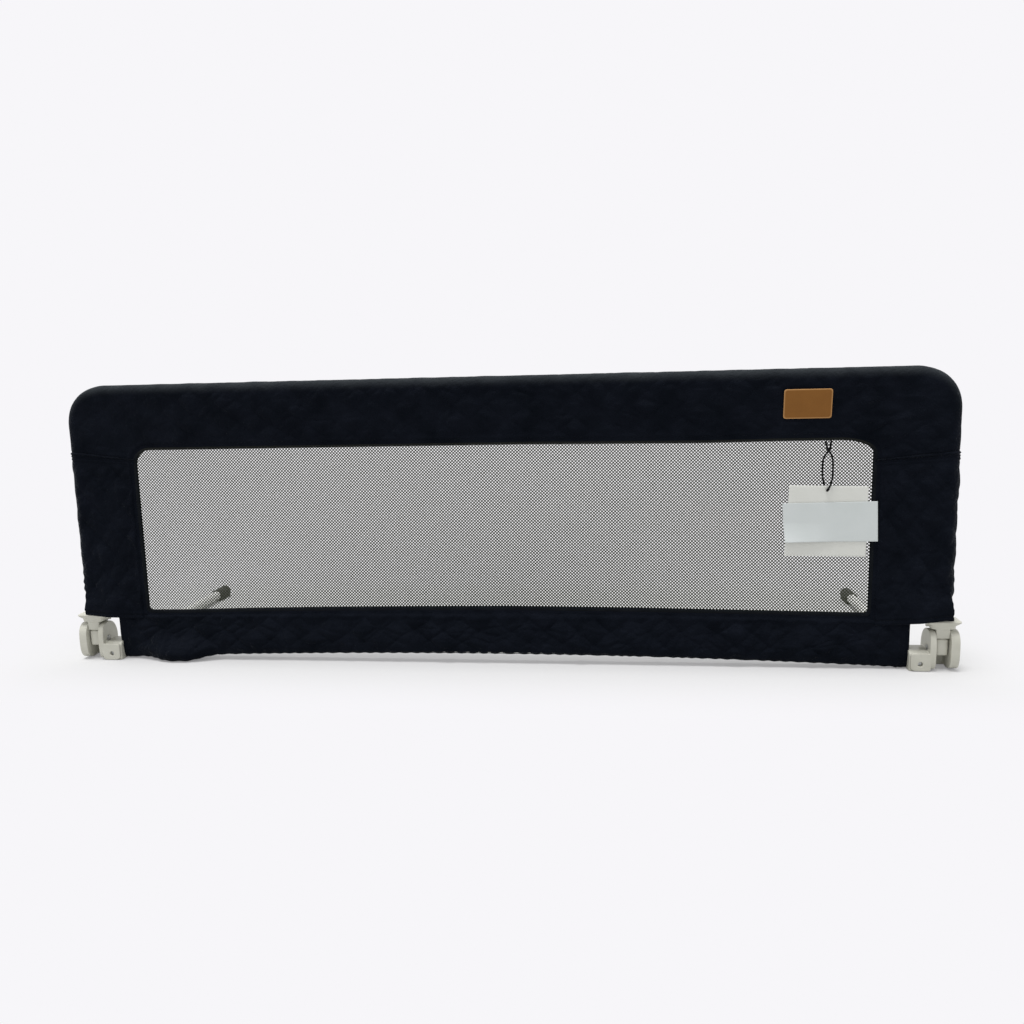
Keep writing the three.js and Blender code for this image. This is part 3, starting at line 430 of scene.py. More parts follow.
# In order: out of the binding, across to the front, through the card's hole and back behind it. The middle
# value is in front of the uprights' plane.
STRING_POINTS = [
    (0.5463, 0.0022, 0.3782), (0.5472, 0.0030, 0.3745), (0.5479, 0.0060, 0.3690), (0.5492, 0.0087, 0.3635),
    (0.5530, 0.0097, 0.3587), (0.5556, 0.0100, 0.3530), (0.5568, 0.0101, 0.3450), (0.5570, 0.0102, 0.3350),
    (0.5570, 0.0102, 0.3250), (0.5562, 0.0102, 0.3150), (0.5538, 0.0104, 0.3070), (0.5510, 0.0099, 0.3008),
    (0.5500, 0.0062, 0.2980), (0.5490, 0.0026, 0.3008), (0.5466, 0.0025, 0.3065), (0.5444, 0.0025, 0.3140),
    (0.5428, 0.0028, 0.3250), (0.5424, 0.0030, 0.3350), (0.5430, 0.0031, 0.3450), (0.5451, 0.0032, 0.3530),
    (0.5488, 0.0032, 0.3587), (0.5529, 0.0030, 0.3635), (0.5542, 0.0027, 0.3690), (0.5549, 0.0022, 0.3745),
    (0.5558, 0.0022, 0.3782),
]
STRING_KNOT = 0.3608  # height at which the strands are drawn together
STRING_LOOP = (0.5506, MID_Y - 0.0090, 0.3000)  # where the string goes through the card's hole
STRING_LAY = 0.012  # the length in which its strands go round once


def smooth_path(points, steps):
    """Points on one smooth curve through the given ones, with that many steps between two of them."""
    given = [2 * points[0] - points[1], *points, 2 * points[-1] - points[-2]]
    made = []
    for k in range(1, len(given) - 2):
        p0, p1, p2, p3 = given[k - 1:k + 3]
        for step in range(steps):
            t = step / steps
            made.append(0.5 * (2 * p1 + (p2 - p0) * t + (2 * p0 - 5 * p1 + 4 * p2 - p3) * t ** 2
                               + (3 * p1 - p0 - 3 * p2 + p3) * t ** 3))
    return np.array([*made, points[-1]])


def tube_rings(path, radius, sides, lobes=0, depth=0.0, twist=0.0):
    """Rings of points round a path. Lobes that turn along the path make it a twisted string."""
    along = unit(np.gradient(path, axis=0))
    side = np.cross(along[0], (0.3, 0.2, 0.9))
    radii = np.broadcast_to(radius, len(path))
    rings, run = [], 0.0
    for k, (point, forward) in enumerate(zip(path, along)):
        side = side - forward * side.dot(forward)
        side /= np.linalg.norm(side)
        other = np.cross(forward, side)
        if k:
            run += np.linalg.norm(point - path[k - 1])
        angle = 2 * math.pi * np.arange(sides) / sides
        swell = radii[k] * (1 - depth + depth * np.cos(lobes * (angle - twist * run)))
        rings.append(point + np.outer(swell * np.cos(angle), side) + np.outer(swell * np.sin(angle), other))
    return np.array(rings)


def tube_faces(count, sides):
    """Faces of a tube of so many rings, with a cap at both ends."""
    first = [(s, (s + 1) % sides, (s + 1) % sides + sides, s + sides) for s in range(sides)]
    walls = [tuple(k * sides + v for v in face) for k in range(count - 1) for face in first]
    return walls + [tuple(reversed(range(sides))), tuple(range((count - 1) * sides, count * sides))]


def add_tube(verts, faces, rings):
    """Adds a closed tube to the points and faces of a mesh."""
    faces += [tuple(len(verts) + v for v in face) for face in tube_faces(*rings.shape[:2])]
    verts += rings.reshape(-1, 3).tolist()


def make_string():
    points = [np.array((x, MID_Y - forward, z)) for x, forward, z in STRING_POINTS]
    path = smooth_path(points, 12)
    knot = ridge(path[:, 2], STRING_KNOT, 0.0028)
    at_card = ridge(np.linalg.norm(path - STRING_LOOP, axis=1), 0, 0.0035)
    above = smoothstep(path[:, 2], STRING_KNOT, STRING_KNOT + 0.003)
    radii = STRING_RADIUS * (1.08 + 0.2 * above + 0.3 * knot + 0.5 * at_card)
    rings = tube_rings(path, radii, 18, lobes=3, depth=0.12, twist=2 * math.pi / STRING_LAY)
    faces = tube_faces(*rings.shape[:2])
    mesh = new_mesh("tag_string", rings, faces, smooth=[len(face) == 4 for face in faces])
    made = new_piece("tag_string_twisted", mesh, "black_string", "tag", ["tag_string"])


# Corners of the hanging card and of its label in X and Z: upper left, upper right, lower left, lower right.
CARD_CORNERS = ((0.4907, 0.3072), (0.6147, 0.3043), (0.4846, 0.1900), (0.6139, 0.1884))
LABEL_CORNERS = ((0.4798, 0.2776), (0.6292, 0.2801), (0.4839, 0.2140), (0.6317, 0.2141))
CARD_THICKNESS = 0.0005
CARD_EDGE = 0.00012  # how far its edges are rounded


def make_card(name, node, material, corners, curl):
    """A thin card between its four corners that hangs a little askew and curls, in place of its node."""
    low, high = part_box(node)
    upper_left, upper_right, lower_left, lower_right = (np.array(corner) for corner in corners)
    mesh = bpy.data.meshes.new(name)
    shape = bmesh.new()
    bmesh.ops.create_grid(shape, x_segments=48, y_segments=40, size=0.5)
    for vert in shape.verts:
        s, t = vert.co.x + 0.5, vert.co.y + 0.5
        upper, lower = (1 - s) * upper_left + s * upper_right, (1 - s) * lower_left + s * lower_right
        x, z = t * upper + (1 - t) * lower
        vert.co = Vector((x, (low.y + high.y) / 2 - curl(2 * s - 1, 2 * t - 1), z))
    shape.normal_update()
    shape.to_mesh(mesh)
    shape.free()
    mesh.polygons.foreach_set("use_smooth", [True] * len(mesh.polygons))
    made = new_piece(name, mesh, "white_card", "tag", [node], material)
    thick = made.modifiers.new("thickness", "SOLIDIFY")
    thick.thickness = CARD_THICKNESS
    thick.offset = 0
    made.modifiers.new("edge", "BEVEL").width = CARD_EDGE


def make_tag():
    make_card("tag_card_back", "tag_card", "white_card", CARD_CORNERS, lambda u, v: 0.0003 * u * u - 0.0003)
    make_card("tag_label_front", "tag_label", "label_card", LABEL_CORNERS,
              lambda u, v: 0.0002 + 0.0080 * max(0.0, 0.1 - u) * max(0.0, -v) ** 1.5)
    make_string()


# The quilted cover

def tangent_angle(reach, radius):
    """Angle, from straight out, at which a flat face from the binding meets the round over the tube."""
    return math.atan2(CLOTH_HALF, reach) - math.asin(radius / math.hypot(reach, CLOTH_HALF)) - math.pi / 2


def spread(count):
    """Shares from 0 to 1, closer together near 0, where the seam along the binding is."""
    return (np.linspace(0, 1, count) ** 1.5)[:, None]


SEAM_REACH = 0.012  # how far from a seam the cloth's mesh is finer


def graded(length):
    """Places from 0 to a length, closer together near both ends, where the seams are."""
    ends = np.arange(0, SEAM_REACH, FINE_STEP)
    count = round((length - 2 * SEAM_REACH) / CLOTH_STEP)
    return np.concatenate([ends, np.linspace(SEAM_REACH, length - SEAM_REACH, count), length - ends[::-1]])


def tube_section(inside, tube, outward, radius, face_steps, round_steps):
    """Half a section of the cover: flat from the binding to the tube, and round it to its outermost line."""
    start = np.array((inside[0], MID_Y - CLOTH_HALF, inside[1]))
    axis, out = np.array((tube[0], MID_Y, tube[1])), np.array((outward[0], 0, outward[1]))

    def on_round(angle):
        return axis + radius * (np.cos(angle) * out + np.sin(angle) * np.array((0, 1, 0)))

    first = tangent_angle(math.dist(inside, tube), radius)
    face = start + (on_round(first) - start) * spread(face_steps + 1)
    return np.vstack([face, on_round(np.linspace(first, 0, round_steps + 1)[1:, None])])


def box_section(inside, tube, face_steps, round_steps):
    """Half a section of a side panel where it takes in a collar: to its full depth, and round a corner."""
    side = math.copysign(1, tube[0])
    edge = abs(tube[0]) + SIDE_RADIUS - FLAP_DRAWN_IN[side > 0]
    corner_x, corner_y = edge - FLAP_ROUND, FLAP_HALF - FLAP_ROUND
    flat = np.array(((abs(inside[0]), CLOTH_HALF), (FLAP_KNEE, FLAP_HALF), (corner_x, FLAP_HALF)))
    runs = run_along(flat)
    face = at_runs(runs[-1] * spread(face_steps + 1)[:, 0], runs, flat)
    turn = np.linspace(0, math.pi / 2, FLAP_CORNER_STEPS + 1)[1:]
    corner = np.stack([corner_x + FLAP_ROUND * np.sin(turn), corner_y + FLAP_ROUND * np.cos(turn)], 1)
    wall = np.linspace((edge, corner_y), (edge, 0), round_steps - FLAP_CORNER_STEPS + 1)[1:]
    x, y = np.vstack([face, corner, wall]).T
    share = np.clip((x - abs(inside[0])) / (abs(tube[0]) - abs(inside[0])), 0, 1)
    return np.stack([side * x, MID_Y - y, inside[1] + (tube[1] - inside[1]) * share], 1)


def mirrored(half_section):
    """The whole section from its front half."""
    back = half_section[-2::-1].copy()
    back[:, 1] = 2 * MID_Y - back[:, 1]
    return np.vstack([half_section, back])


def fold_distance(points):
    """How far along its section each point lies from the nearer of the section's two ends."""
    steps = np.linalg.norm(np.diff(points, axis=1), axis=2)
    run = np.concatenate([np.zeros((len(points), 1)), np.cumsum(steps, axis=1)], axis=1)
    return np.minimum(run, run[:, -1:] - run), run[:, -1:] / 2


def ridge(distance, place, width):
    return np.exp(-((distance - place) / width) ** 2)


def seam_ridges(to_seam):
    """Height beside a seam: the folded edge, and the cloth standing up between the rows of topstitching."""
    first, second = SEAM_ROWS
    raised = 0.0019 * ridge(to_seam, (first + second) / 2, 0.0018) + 0.0014 * ridge(to_seam, 0.0004, 0.0013)
    drawn_in = 0.0004 * ridge(to_seam, first, 0.0006) + 0.0008 * ridge(to_seam, second + 0.0006, 0.0012)
    return raised - drawn_in


def binding_groove(run):
    """Height beside the binding: a roll of cloth, and the groove where the binding's stitches pull it in."""
    return 0.0014 * ridge(run, 0.0105, 0.0035) - 0.0009 * ridge(run, 0.0070, 0.0012)


# Folds in the top part, most of them in the corner on the right: both ends in X and Z, height and half width.
COVER_FOLDS = [
    ((0.560, 0.466), (0.655, 0.462), 0.0022, 0.0035), ((0.575, 0.436), (0.640, 0.444), 0.0018, 0.0030),
    ((0.615, 0.408), (0.702, 0.416), 0.0026, 0.0045), ((0.640, 0.452), (0.712, 0.438), 0.0018, 0.0035),
    ((0.590, 0.422), (0.630, 0.404), 0.0016, 0.0028), ((0.625, 0.392), (0.690, 0.384), 0.0020, 0.0040),
    ((0.520, 0.452), (0.580, 0.458), 0.0014, 0.0030), ((-0.069, 0.390), (-0.061, 0.462), 0.0022, 0.0030),
]


def fold_lines(x, z, folds):
    """Height of soft folds, each highest along its middle and run out at both ends."""
    total = 0 * x
    for (x0, z0), (x1, z1), height, width in folds:
        length = math.dist((x0, z0), (x1, z1))
        ux, uz = (x1 - x0) / length, (z1 - z0) / length
        along = (x - x0) * ux + (z - z0) * uz
        off = (z - z0) * ux - (x - x0) * uz + 0.002 * np.sin(along / 0.011)
        share = np.clip(along / length, 0, 1)
        slope = np.where(off > 0, 1.7, 0.7)
        total += height * np.sin(math.pi * share) ** 0.8 * np.exp(-(np.abs(off) / (width * slope)) ** 1.5)
    return total


# Rows of stitches: their points and faces are gathered for each body, and made into one piece at the end.
SEAM_STITCHES = ([], [])
HEM_STITCHES = ([], [])
STITCH_LENGTH = 0.0026
STITCH_GAP = 0.0009
THREAD_RADIUS = 0.00034
# Along a stitch: the places in shares of its length, their height over the cloth and their radius.
STITCH_AT = STITCH_LENGTH * np.array((0, 0.12, 0.5, 0.88, 1))
STITCH_RISE = THREAD_RADIUS * np.array((-0.9, 0.0, 0.55, 0.0, -0.9))
STITCH_RADII = THREAD_RADIUS * np.array((0.5, 0.95, 1, 0.95, 0.5))
STITCH_SIDES = 6


def stitch_row(stitches, line, normals):
    """Adds the stitches along a line on the cloth, half sunk in it."""
    run = run_along(line)
    for start in np.arange(STITCH_GAP, run[-1] - STITCH_LENGTH, STITCH_LENGTH + STITCH_GAP):
        at = start + STITCH_AT
        path = at_runs(at, run, line) + at_runs(at, run, normals) * STITCH_RISE[:, None]
        add_tube(*stitches, tube_rings(path, STITCH_RADII, STITCH_SIDES))


def make_stitches(name, stitches, body):
    new_piece(name, recalculated_normals(new_mesh(name, *stitches)), "navy_binding", body)


BEND_SHARES = (0.35, 0.75)  # how far along the window's side, up to its corner, the tube's bend starts and ends


def cover_paths():
    """Matching points on the cover's inner line, round the window, and on the frame, from left to right."""
    inner_x0, inner_x1, inner_top = WINDOW_LEFT - TUCK, WINDOW_RIGHT + TUCK, WINDOW_TOP + TUCK
    left_r, right_r, drop = (size + TUCK for size in (CORNER_LEFT, CORNER_RIGHT, CORNER_RIGHT_DROP))
    turn = np.linspace(0, math.pi / 2, 24)
    sine, cosine = np.sin(turn), np.cos(turn)
    left_arc = np.stack([inner_x0 + left_r * (1 - cosine), inner_top - left_r * (1 - sine)], 1)
    right_arc = np.stack([inner_x1 - right_r * (1 - sine), inner_top - drop * (1 - cosine)], 1)
    left_arc = left_arc[left_arc[:, 1] > SEAM_LEFT[0]]
    inner = np.vstack([(left_arc[0][0], SEAM_LEFT[0]), left_arc, right_arc, (inner_x1, SEAM_RIGHT[0])])
    bend_x, bend_z = UPRIGHT_X - BEND_RADIUS, TOP_Z - BEND_RADIUS
    outer = np.vstack([
        (-UPRIGHT_X, SEAM_LEFT[1]),
        np.stack([-bend_x - BEND_RADIUS * cosine, bend_z + BEND_RADIUS * sine], 1),
        np.stack([bend_x + BEND_RADIUS * sine, bend_z + BEND_RADIUS * cosine], 1),
        (UPRIGHT_X, SEAM_RIGHT[1])])
    inner_run, outer_run = run_along(inner), run_along(outer)
    left_corner, right_corner = inner_run[len(left_arc)], inner_run[len(left_arc) + 1]
    beyond = inner_run[-1] - right_corner
    first, second = BEND_SHARES
    left_bend, right_bend = outer_run[len(turn)], outer_run[len(turn) + 1]
    straight_left = left_bend + (inner[len(left_arc)][0] + bend_x)
    matches = np.array((
        (0, 0), (outer_run[1], left_corner * first), (left_bend, left_corner * second),
        (straight_left, left_corner), (straight_left + (right_corner - left_corner), right_corner),
        (right_bend, right_corner + beyond * (1 - second)),
        (outer_run[2 * len(turn)], right_corner + beyond * (1 - first)),
        (outer_run[-1], inner_run[-1])))
    at = graded(outer_run[-1])
    tube, inside = at_runs(at, outer_run, outer), at_runs(np.interp(at, *matches.T), inner_run, inner)
    along = unit(np.gradient(tube, axis=0))
    return at, tube, inside, np.stack([-along[:, 1], along[:, 0]], 1)


def make_cover_top():
    """The top part, from seam to seam over the top rail and down into the window's binding."""
    at, tube, inside, outward = cover_paths()
    radii = COVER_RADIUS + (SIDE_RADIUS - COVER_RADIUS) * smoothstep(np.abs(outward[:, 0]), 0.2, 0.9)
    points = np.array([mirrored(tube_section(*places, face_steps=58, round_steps=10))
                       for places in zip(inside, tube, outward, radii)])
    run, half_run = fold_distance(points)
    place_x, place_z = (start[:, None] + way[:, None] * run
                        for start, way in zip(inside.T, unit(tube - inside).T))
    to_seam = np.minimum(at, at[-1] - at)[:, None] + 0 * run
    over_tube = smoothstep(run, half_run - 0.028, half_run - 0.017)
    from_left = smoothstep(place_x, -0.64, -0.50)
    from_right = smoothstep(np.hypot(place_x - UPRIGHT_X, place_z - TOP_Z), 0.05, 0.13)
    soft = smoothstep(to_seam, 0.006, 0.02) * smoothstep(run, 0.004, 0.016)
    soft = soft * (1 - 0.85 * over_tube) * (0.45 + 0.55 * from_left) * (0.35 + 0.65 * from_right)
    height = PUFF * soft * quilting(place_x, place_z, BAND_CELL, QUILT_SEEDS[0])
    height += fold_lines(place_x, place_z, COVER_FOLDS) * smoothstep(run, 0.006, 0.02) * (1 - over_tube)
    patch_mid, patch_half = (patch_low + patch_high) / 2, (patch_high - patch_low) / 2
    off_patch = np.hypot(np.maximum(np.abs(place_x - patch_mid.x) - patch_half.x, 0),
                         np.maximum(np.abs(place_z - patch_mid.z) - patch_half.z, 0))
    height = height * (0.25 + 0.75 * smoothstep(off_patch, 0.001, 0.009))
    height += 0.0003 * ridge(off_patch, 0.006, 0.004) + seam_ridges(to_seam) + binding_groove(run)
    normals = outward_normals(points)
    skin = points + normals * height[..., None]
    for seam_row in SEAM_ROWS:
        for row in (np.argmin(np.abs(at - seam_row)), np.argmin(np.abs(at[-1] - at - seam_row))):
            stitch_row(SEAM_STITCHES, skin[row, 3:-3], normals[row, 3:-3])
    # A painted highlight: a paler tone over the top of the rail, where the cloth faces up to the light.
    painted_highlight = smoothstep(run, half_run - 0.026, half_run - 0.006) * np.clip(outward[:, 1:] * 1.2, 0, 1)
    painted_highlight = painted_highlight * (0.8 + 0.2 * smooth_noise(place_x, run, 0.02, 71))
    made = add_cloth("cover_top_cloth", skin, np.stack([place_x, painted_highlight, place_z], -1), "guard", ["cover_top"])


HEM_ROW = 0.0075  # the hems' row of stitches, from the edge
EDGE_SEAM = 0.0085  # the side panels' seam, from the cover's outermost line
GATHER = (0.0009, 0.0005)  # height of the gathers at the flaps' edge, on the left and on the right
GATHER_PITCH = 0.016


def make_cover_side(name, node, side, inner_x, seam, foot):
    """A side panel, from its seam down to its hem, which opens into a flap round the collar."""
    length = seam[1] - foot[1]
    share = graded(length) / length
    inner_z, outer_z = (seam[k] + (foot[k] - seam[k]) * share for k in (0, 1))
    steps = {"face_steps": 60, "round_steps": 11}
    rows = []
    for z_in, z_out in zip(inner_z, outer_z):
        inside, tube = (side * inner_x, z_in), (side * UPRIGHT_X, z_out)
        round_it = tube_section(inside, tube, (side, 0), SIDE_RADIUS, **steps)
        full = 1 - smoothstep(round_it[:, 2:], MOUTH_FULL, MOUTH_TOP)
        rows.append(mirrored(round_it * (1 - full) + box_section(inside, tube, **steps) * full))
    points = np.array(rows)
    run, half_run = fold_distance(points)
    place_x, place_z = side * (inner_x + run), points[..., 2]
    to_seam = share[:, None] * length + 0 * run
    to_hem = (1 - share[:, None]) * length + 0 * run
    soft = smoothstep(to_seam, 0.004, 0.02) * smoothstep(to_hem, 0.010, 0.024) * smoothstep(run, 0.004, 0.016)
    over_tube = smoothstep(run, half_run - 0.026, half_run - 0.012)
    puffs = quilting(place_x, place_z, PANEL_CELL, QUILT_SEEDS[1 if side < 0 else 2])
    height = PUFF * soft * (1 - 0.65 * over_tube) * puffs + binding_groove(run) + 0.5 * seam_ridges(to_seam)
    hem = 0.0010 * ridge(to_hem, HEM_ROW - 0.0045, 0.0035) - 0.0006 * ridge(to_hem, HEM_ROW, 0.0009)
    height += (hem + 0.0010 * ridge(to_hem, HEM_ROW + 0.004, 0.0030)) * (1 - 0.8 * over_tube)
    edge_seam = half_run - EDGE_SEAM
    welt = 0.0008 * ridge(run, edge_seam + 0.003, 0.0018) - 0.0009 * ridge(run, edge_seam, 0.0015)
    height += welt * smoothstep(to_hem, 0.01, 0.03)
    gather = np.sin(2 * math.pi * place_z / GATHER_PITCH + 2.5 * smooth_noise(place_x, place_z, 0.03, 5))
    near_edge = smoothstep(run, half_run - 0.055, half_run - 0.01)
    height += GATHER[side > 0] * gather * smoothstep(0.20 - place_z, 0, 0.07) * near_edge
    normals = outward_normals(points)
    skin = points + normals * height[..., None]
    face = slice(3, steps["face_steps"] + 1)
    hem_row = np.argmin(np.abs((1 - share) * length - HEM_ROW))
    stitch_row(SEAM_STITCHES, skin[hem_row, face], normals[hem_row, face])
    column = np.arange(points.shape[1] - 1)
    outer_wall = np.minimum(column, column[-1] - column) > steps["face_steps"]
    keep = ~((outer_z[:-1] < MOUTH_OPEN)[:, None] & outer_wall[None, :])
    made = add_cloth(name, skin, np.stack([place_x, 0 * place_x, place_z], -1), "guard", [node], keep)


HEM_RADIUS = 0.0105  # of the hem round the lower rail
FOLD_HALF = 0.0060  # half depth of the band where it bends
FOLD_ZONE = (0.056, 0.068)  # height of the part that bends between the base and the guard
HEM_ENDS = 0.0005  # height of the hem at its ends and in its middle
HEM_MIDDLE = 0.0148
HEM_SAG = (-0.575, 0.040, 0.024)  # a slack place near the left end: where, how wide, and how far forward
BAND_SEAM = 0.672  # an upright seam near the band's right end
BAND_STEPS = (17, 12, 43)  # of its mesh, above the part that bends, in it and below it
BAND_EASE = (0.0085, 0.0045)  # how much longer the band is above the blocks, on the left and on the right


def make_band():
    """The bottom band and the hem round the lower rail, one cloth from the guard to the base."""
    end = hem_high.x
    x = np.linspace(-end, end, round(2 * end / CLOTH_STEP) + 1)
    slack = np.exp(-np.abs((x - HEM_SAG[0]) / HEM_SAG[1]) ** 3)
    feet = (HEM_MIDDLE + (HEM_ENDS - HEM_MIDDLE) * (x / end) ** 2) * (1 - 0.85 * slack)
    rows = np.array([(
        (WINDOW_FOOT - TUCK, CLOTH_HALF), (0.0627, FOLD_HALF), (0.045, 0.0092), (RAIL_Z + 0.004, HEM_RADIUS),
        (RAIL_Z - 0.004, HEM_RADIUS), (foot + 0.005, 0.0082), (foot + 0.0012, 0.0048), (foot, 0))
        for foot in feet])
    runs = run_along(rows[len(rows) // 2])
    zone_run, top_run = (WINDOW_FOOT - TUCK - z for z in FOLD_ZONE)
    ends = (0, top_run, zone_run, runs[-1])
    wanted = np.concatenate([
        *(np.linspace(*stretch, endpoint=False) for stretch in zip(ends, ends[1:], BAND_STEPS)), [runs[-1]]])
    sections = np.array([at_runs(wanted, runs, row) for row in rows])
    for _ in range(3):
        sections[:, 1:-1] = (sections[:, :-2] + 2 * sections[:, 1:-1] + sections[:, 2:]) / 4
    front = np.stack([np.repeat(x[:, None], len(wanted), 1), MID_Y - sections[..., 1], sections[..., 0]], -1)
    points = np.array([mirrored(section) for section in front])
    run, half_run = fold_distance(points)
    place_x, place_z = points[..., 0].copy(), WINDOW_FOOT - run
    to_end, to_foot = end - np.abs(place_x), half_run - run
    soft = smoothstep(to_end, 0.008, 0.02) * smoothstep(run, 0.004, 0.014) * smoothstep(to_foot, 0.012, 0.024)
    height = PUFF * soft * quilting(place_x, place_z, BAND_CELL, QUILT_SEEDS[3]) + binding_groove(run)
    height -= 0.0006 * ridge(to_foot, HEM_ROW, 0.0010) * smoothstep(to_end, 0.002, 0.006)
    height += 0.0006 * ridge(to_end, 0.007, 0.0025)
    seam = 0.0009 * ridge(place_x, BAND_SEAM - 0.0035, 0.0020) - 0.0008 * ridge(place_x, BAND_SEAM, 0.0012)
    height += seam * smoothstep(run, 0.002, 0.008)
    wrinkle = np.sin(2 * math.pi * place_x / 0.021 + 3 * smooth_noise(place_x, place_z, 0.05, 8))
    height += 0.0005 * wrinkle * smoothstep(run, 0.03, 0.06)
    middle = points.shape[1] // 2
    slack = np.exp(-np.abs((place_x - HEM_SAG[0]) / (1.3 * HEM_SAG[1])) ** 3)
    in_front = np.arange(points.shape[1])[None, :] <= middle
    hangs = np.where(in_front, smoothstep(run, 0.045, 0.078), smoothstep(to_foot, 0.014, 0.0))
    points[..., 1] -= HEM_SAG[2] * slack * hangs
    ease = np.where(place_x < 0, BAND_EASE[0], BAND_EASE[1]) * smoothstep(np.abs(place_x), end - 0.12, end)
    points[..., 0] += np.sign(place_x) * ease * np.clip((points[..., 2] - 0.004) / 0.08, 0, 1)
    normals = outward_normals(points)
    skin = points + normals * height[..., None]
    hem_column = np.argmin(np.abs(to_foot[0, :middle] - HEM_ROW))
    stitch_row(HEM_STITCHES, skin[3:-3, hem_column], normals[3:-3, hem_column])
    made = add_cloth("cover_band_cloth", skin, np.stack([place_x, 0 * place_x, place_z], -1), None,
                     ["cover_band", "cover_hem"])
    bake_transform(made)


# The window

def round_corners(corners, steps):
    """A closed line round corners, each given by the centre of its arc, its two radii and its first angle."""
    return np.array([(x + wide * math.cos(turn), z + high * math.sin(turn))
                     for x, z, wide, high, first in corners
                     for turn in np.radians(np.linspace(first, first + 90, steps))])


def window_outline(grow):
    """The window's outline in X and Z, as a closed line, grown outwards by that much."""
    corners = []
    for x, z, wide, high, first in (
            (WINDOW_LEFT, WINDOW_FOOT, CORNER_LOW, CORNER_LOW, 180),
            (WINDOW_RIGHT, WINDOW_FOOT, CORNER_LOW, CORNER_LOW, 270),
            (WINDOW_RIGHT, WINDOW_TOP, CORNER_RIGHT, CORNER_RIGHT_DROP, 0),
            (WINDOW_LEFT, WINDOW_TOP, CORNER_LEFT, CORNER_LEFT, 90)):
        centre_x = x + (wide if x < 0 else -wide)
        centre_z = z + (high if z == WINDOW_FOOT else -high)
        corners.append((centre_x, centre_z, wide + grow, high + grow, first))
    return round_corners(corners, 17)


def even_line(line, step):
    """Points at even steps round a closed line, and how far round each lies."""
    closed = np.vstack([line, line[:1]])
    run = run_along(closed)
    at = np.linspace(0, run[-1], round(run[-1] / step), endpoint=False)
    return at_runs(at, run, closed), at


MESH_PITCH = 0.00385
THREAD_WIDTH = 0.0015
THREAD_THICKNESS = 0.0005
THREAD_SECTION = ((1, 0), (0.6, 1), (-0.6, 1), (-1, 0), (-0.6, -1), (0.6, -1))  # in its half sizes
SHORTEST_THREAD = 0.004
NET_TUCK = 0.004  # how far the net goes in under the binding


def inside_spans(line, slope, offset):
    """Where a diagonal z = slope * x + offset runs inside a closed convex line: the first and last x."""
    a, b = line, np.roll(line, -1, axis=0)
    fa, fb = a[:, 1] - slope * a[:, 0] - offset, b[:, 1] - slope * b[:, 0] - offset
    crosses = (fa < 0) != (fb < 0)
    t = fa[crosses] / (fa[crosses] - fb[crosses])
    xs = a[crosses, 0] + t * (b[crosses, 0] - a[crosses, 0])
    return (xs.min(), xs.max()) if len(xs) >= 2 else None


def make_net():
    """Two families of diagonal threads, held in the binding."""
    line = window_outline(NET_TUCK)
    verts, faces = [], []
    diagonal = MESH_PITCH * math.sqrt(2)
    for slope in (1, -1):
        middle = MID_Y - slope * THREAD_THICKNESS * 0.4
        across = np.array((-slope, 0, 1)) / math.sqrt(2) * THREAD_WIDTH / 2
        depth = np.array((0, THREAD_THICKNESS / 2, 0))
        section = np.array([across * wide + depth * deep for wide, deep in THREAD_SECTION])
        offsets = line[:, 1] - slope * line[:, 0]
        for offset in np.arange(offsets.min() + diagonal / 2, offsets.max(), diagonal):
            span = inside_spans(line, slope, offset)
            if span and span[1] - span[0] >= SHORTEST_THREAD:
                add_tube(verts, faces, np.array([section + (x, middle, slope * x + offset) for x in span]))
    mesh = recalculated_normals(new_mesh("window_net", verts, faces, smooth=False))
    made = new_piece("window_net", mesh, "grey_mesh", "guard", ["window_mesh"])


TAPE_WIDTH = 0.0068  # of the folded binding
TAPE_SIDES = 28
TAPE_STEP = 0.002
TAPE_POWER = 0.62  # lower than 1 for a squarer roll


def make_binding():
    """The tape folded over the window's edge: a flattened roll, swept round the window."""
    line, at = even_line(window_outline(TAPE_WIDTH / 2), TAPE_STEP)
    along = unit(np.roll(line, -1, axis=0) - np.roll(line, 1, axis=0))
    outward = np.stack([along[:, 1], -along[:, 0]], 1)
    angle = 2 * math.pi * np.arange(TAPE_SIDES) / TAPE_SIDES
    wide, deep = (np.sign(part) * np.abs(part) ** TAPE_POWER * half
                  for part, half in ((np.cos(angle), TAPE_WIDTH / 2), (np.sin(angle), BINDING_HALF)))
    ripple = 1 + 0.05 * smooth_noise(at, at * 0, 0.011, 3) + 0.03 * smooth_noise(at, at * 0, 0.004, 4)
    # Along the top, the tape's lower edge stands out and its face looks up.
    top_share = smoothstep(outward[:, 1:], 0.5, 0.95)
    ledge = 1 - 0.5 * top_share * wide[None, :] / (TAPE_WIDTH / 2)
    rings = np.stack([
        line[:, :1] + outward[:, :1] * wide, MID_Y - deep[None, :] * ripple[:, None] * ledge,
        line[:, 1:] + outward[:, 1:] * wide], -1)
    index = np.arange(wide.size * at.size).reshape(len(at), -1)
    after = np.roll(index, -1, axis=0)
    faces = np.stack([index, after, np.roll(after, -1, axis=1), np.roll(index, -1, axis=1)], -1)
    # The second coordinate, where the tape's face looks up, takes a paler tone along the window's top: a
    # painted highlight.
    cloth = np.stack([at[:, None] + 0 * ledge, top_share + 0 * ledge, wide[None, :] + 0 * ledge], -1)
    mesh = recalculated_normals(new_mesh("window_binding_tape", rings, faces.reshape(-1, 4).tolist(), cloth))
    new_piece("window_binding_tape", mesh, "navy_binding", "guard", ["window_binding"])


# The leather patch

PATCH_CORNER = 0.004
PATCH_THICKNESS = 0.0014
PATCH_STANDS = 0.0012  # how far in front of its solid's middle it lies
# Rings from the back of the edge to the face, with the sewn groove: how far in, and height in thicknesses.
PATCH_RINGS = ((0, -0.5), (0, 0.25), (0.0003, 0.40), (0.0009, 0.5), (0.0020, 0.44), (0.0026, 0.36),
               (0.0032, 0.44), (0.005, 0.5))


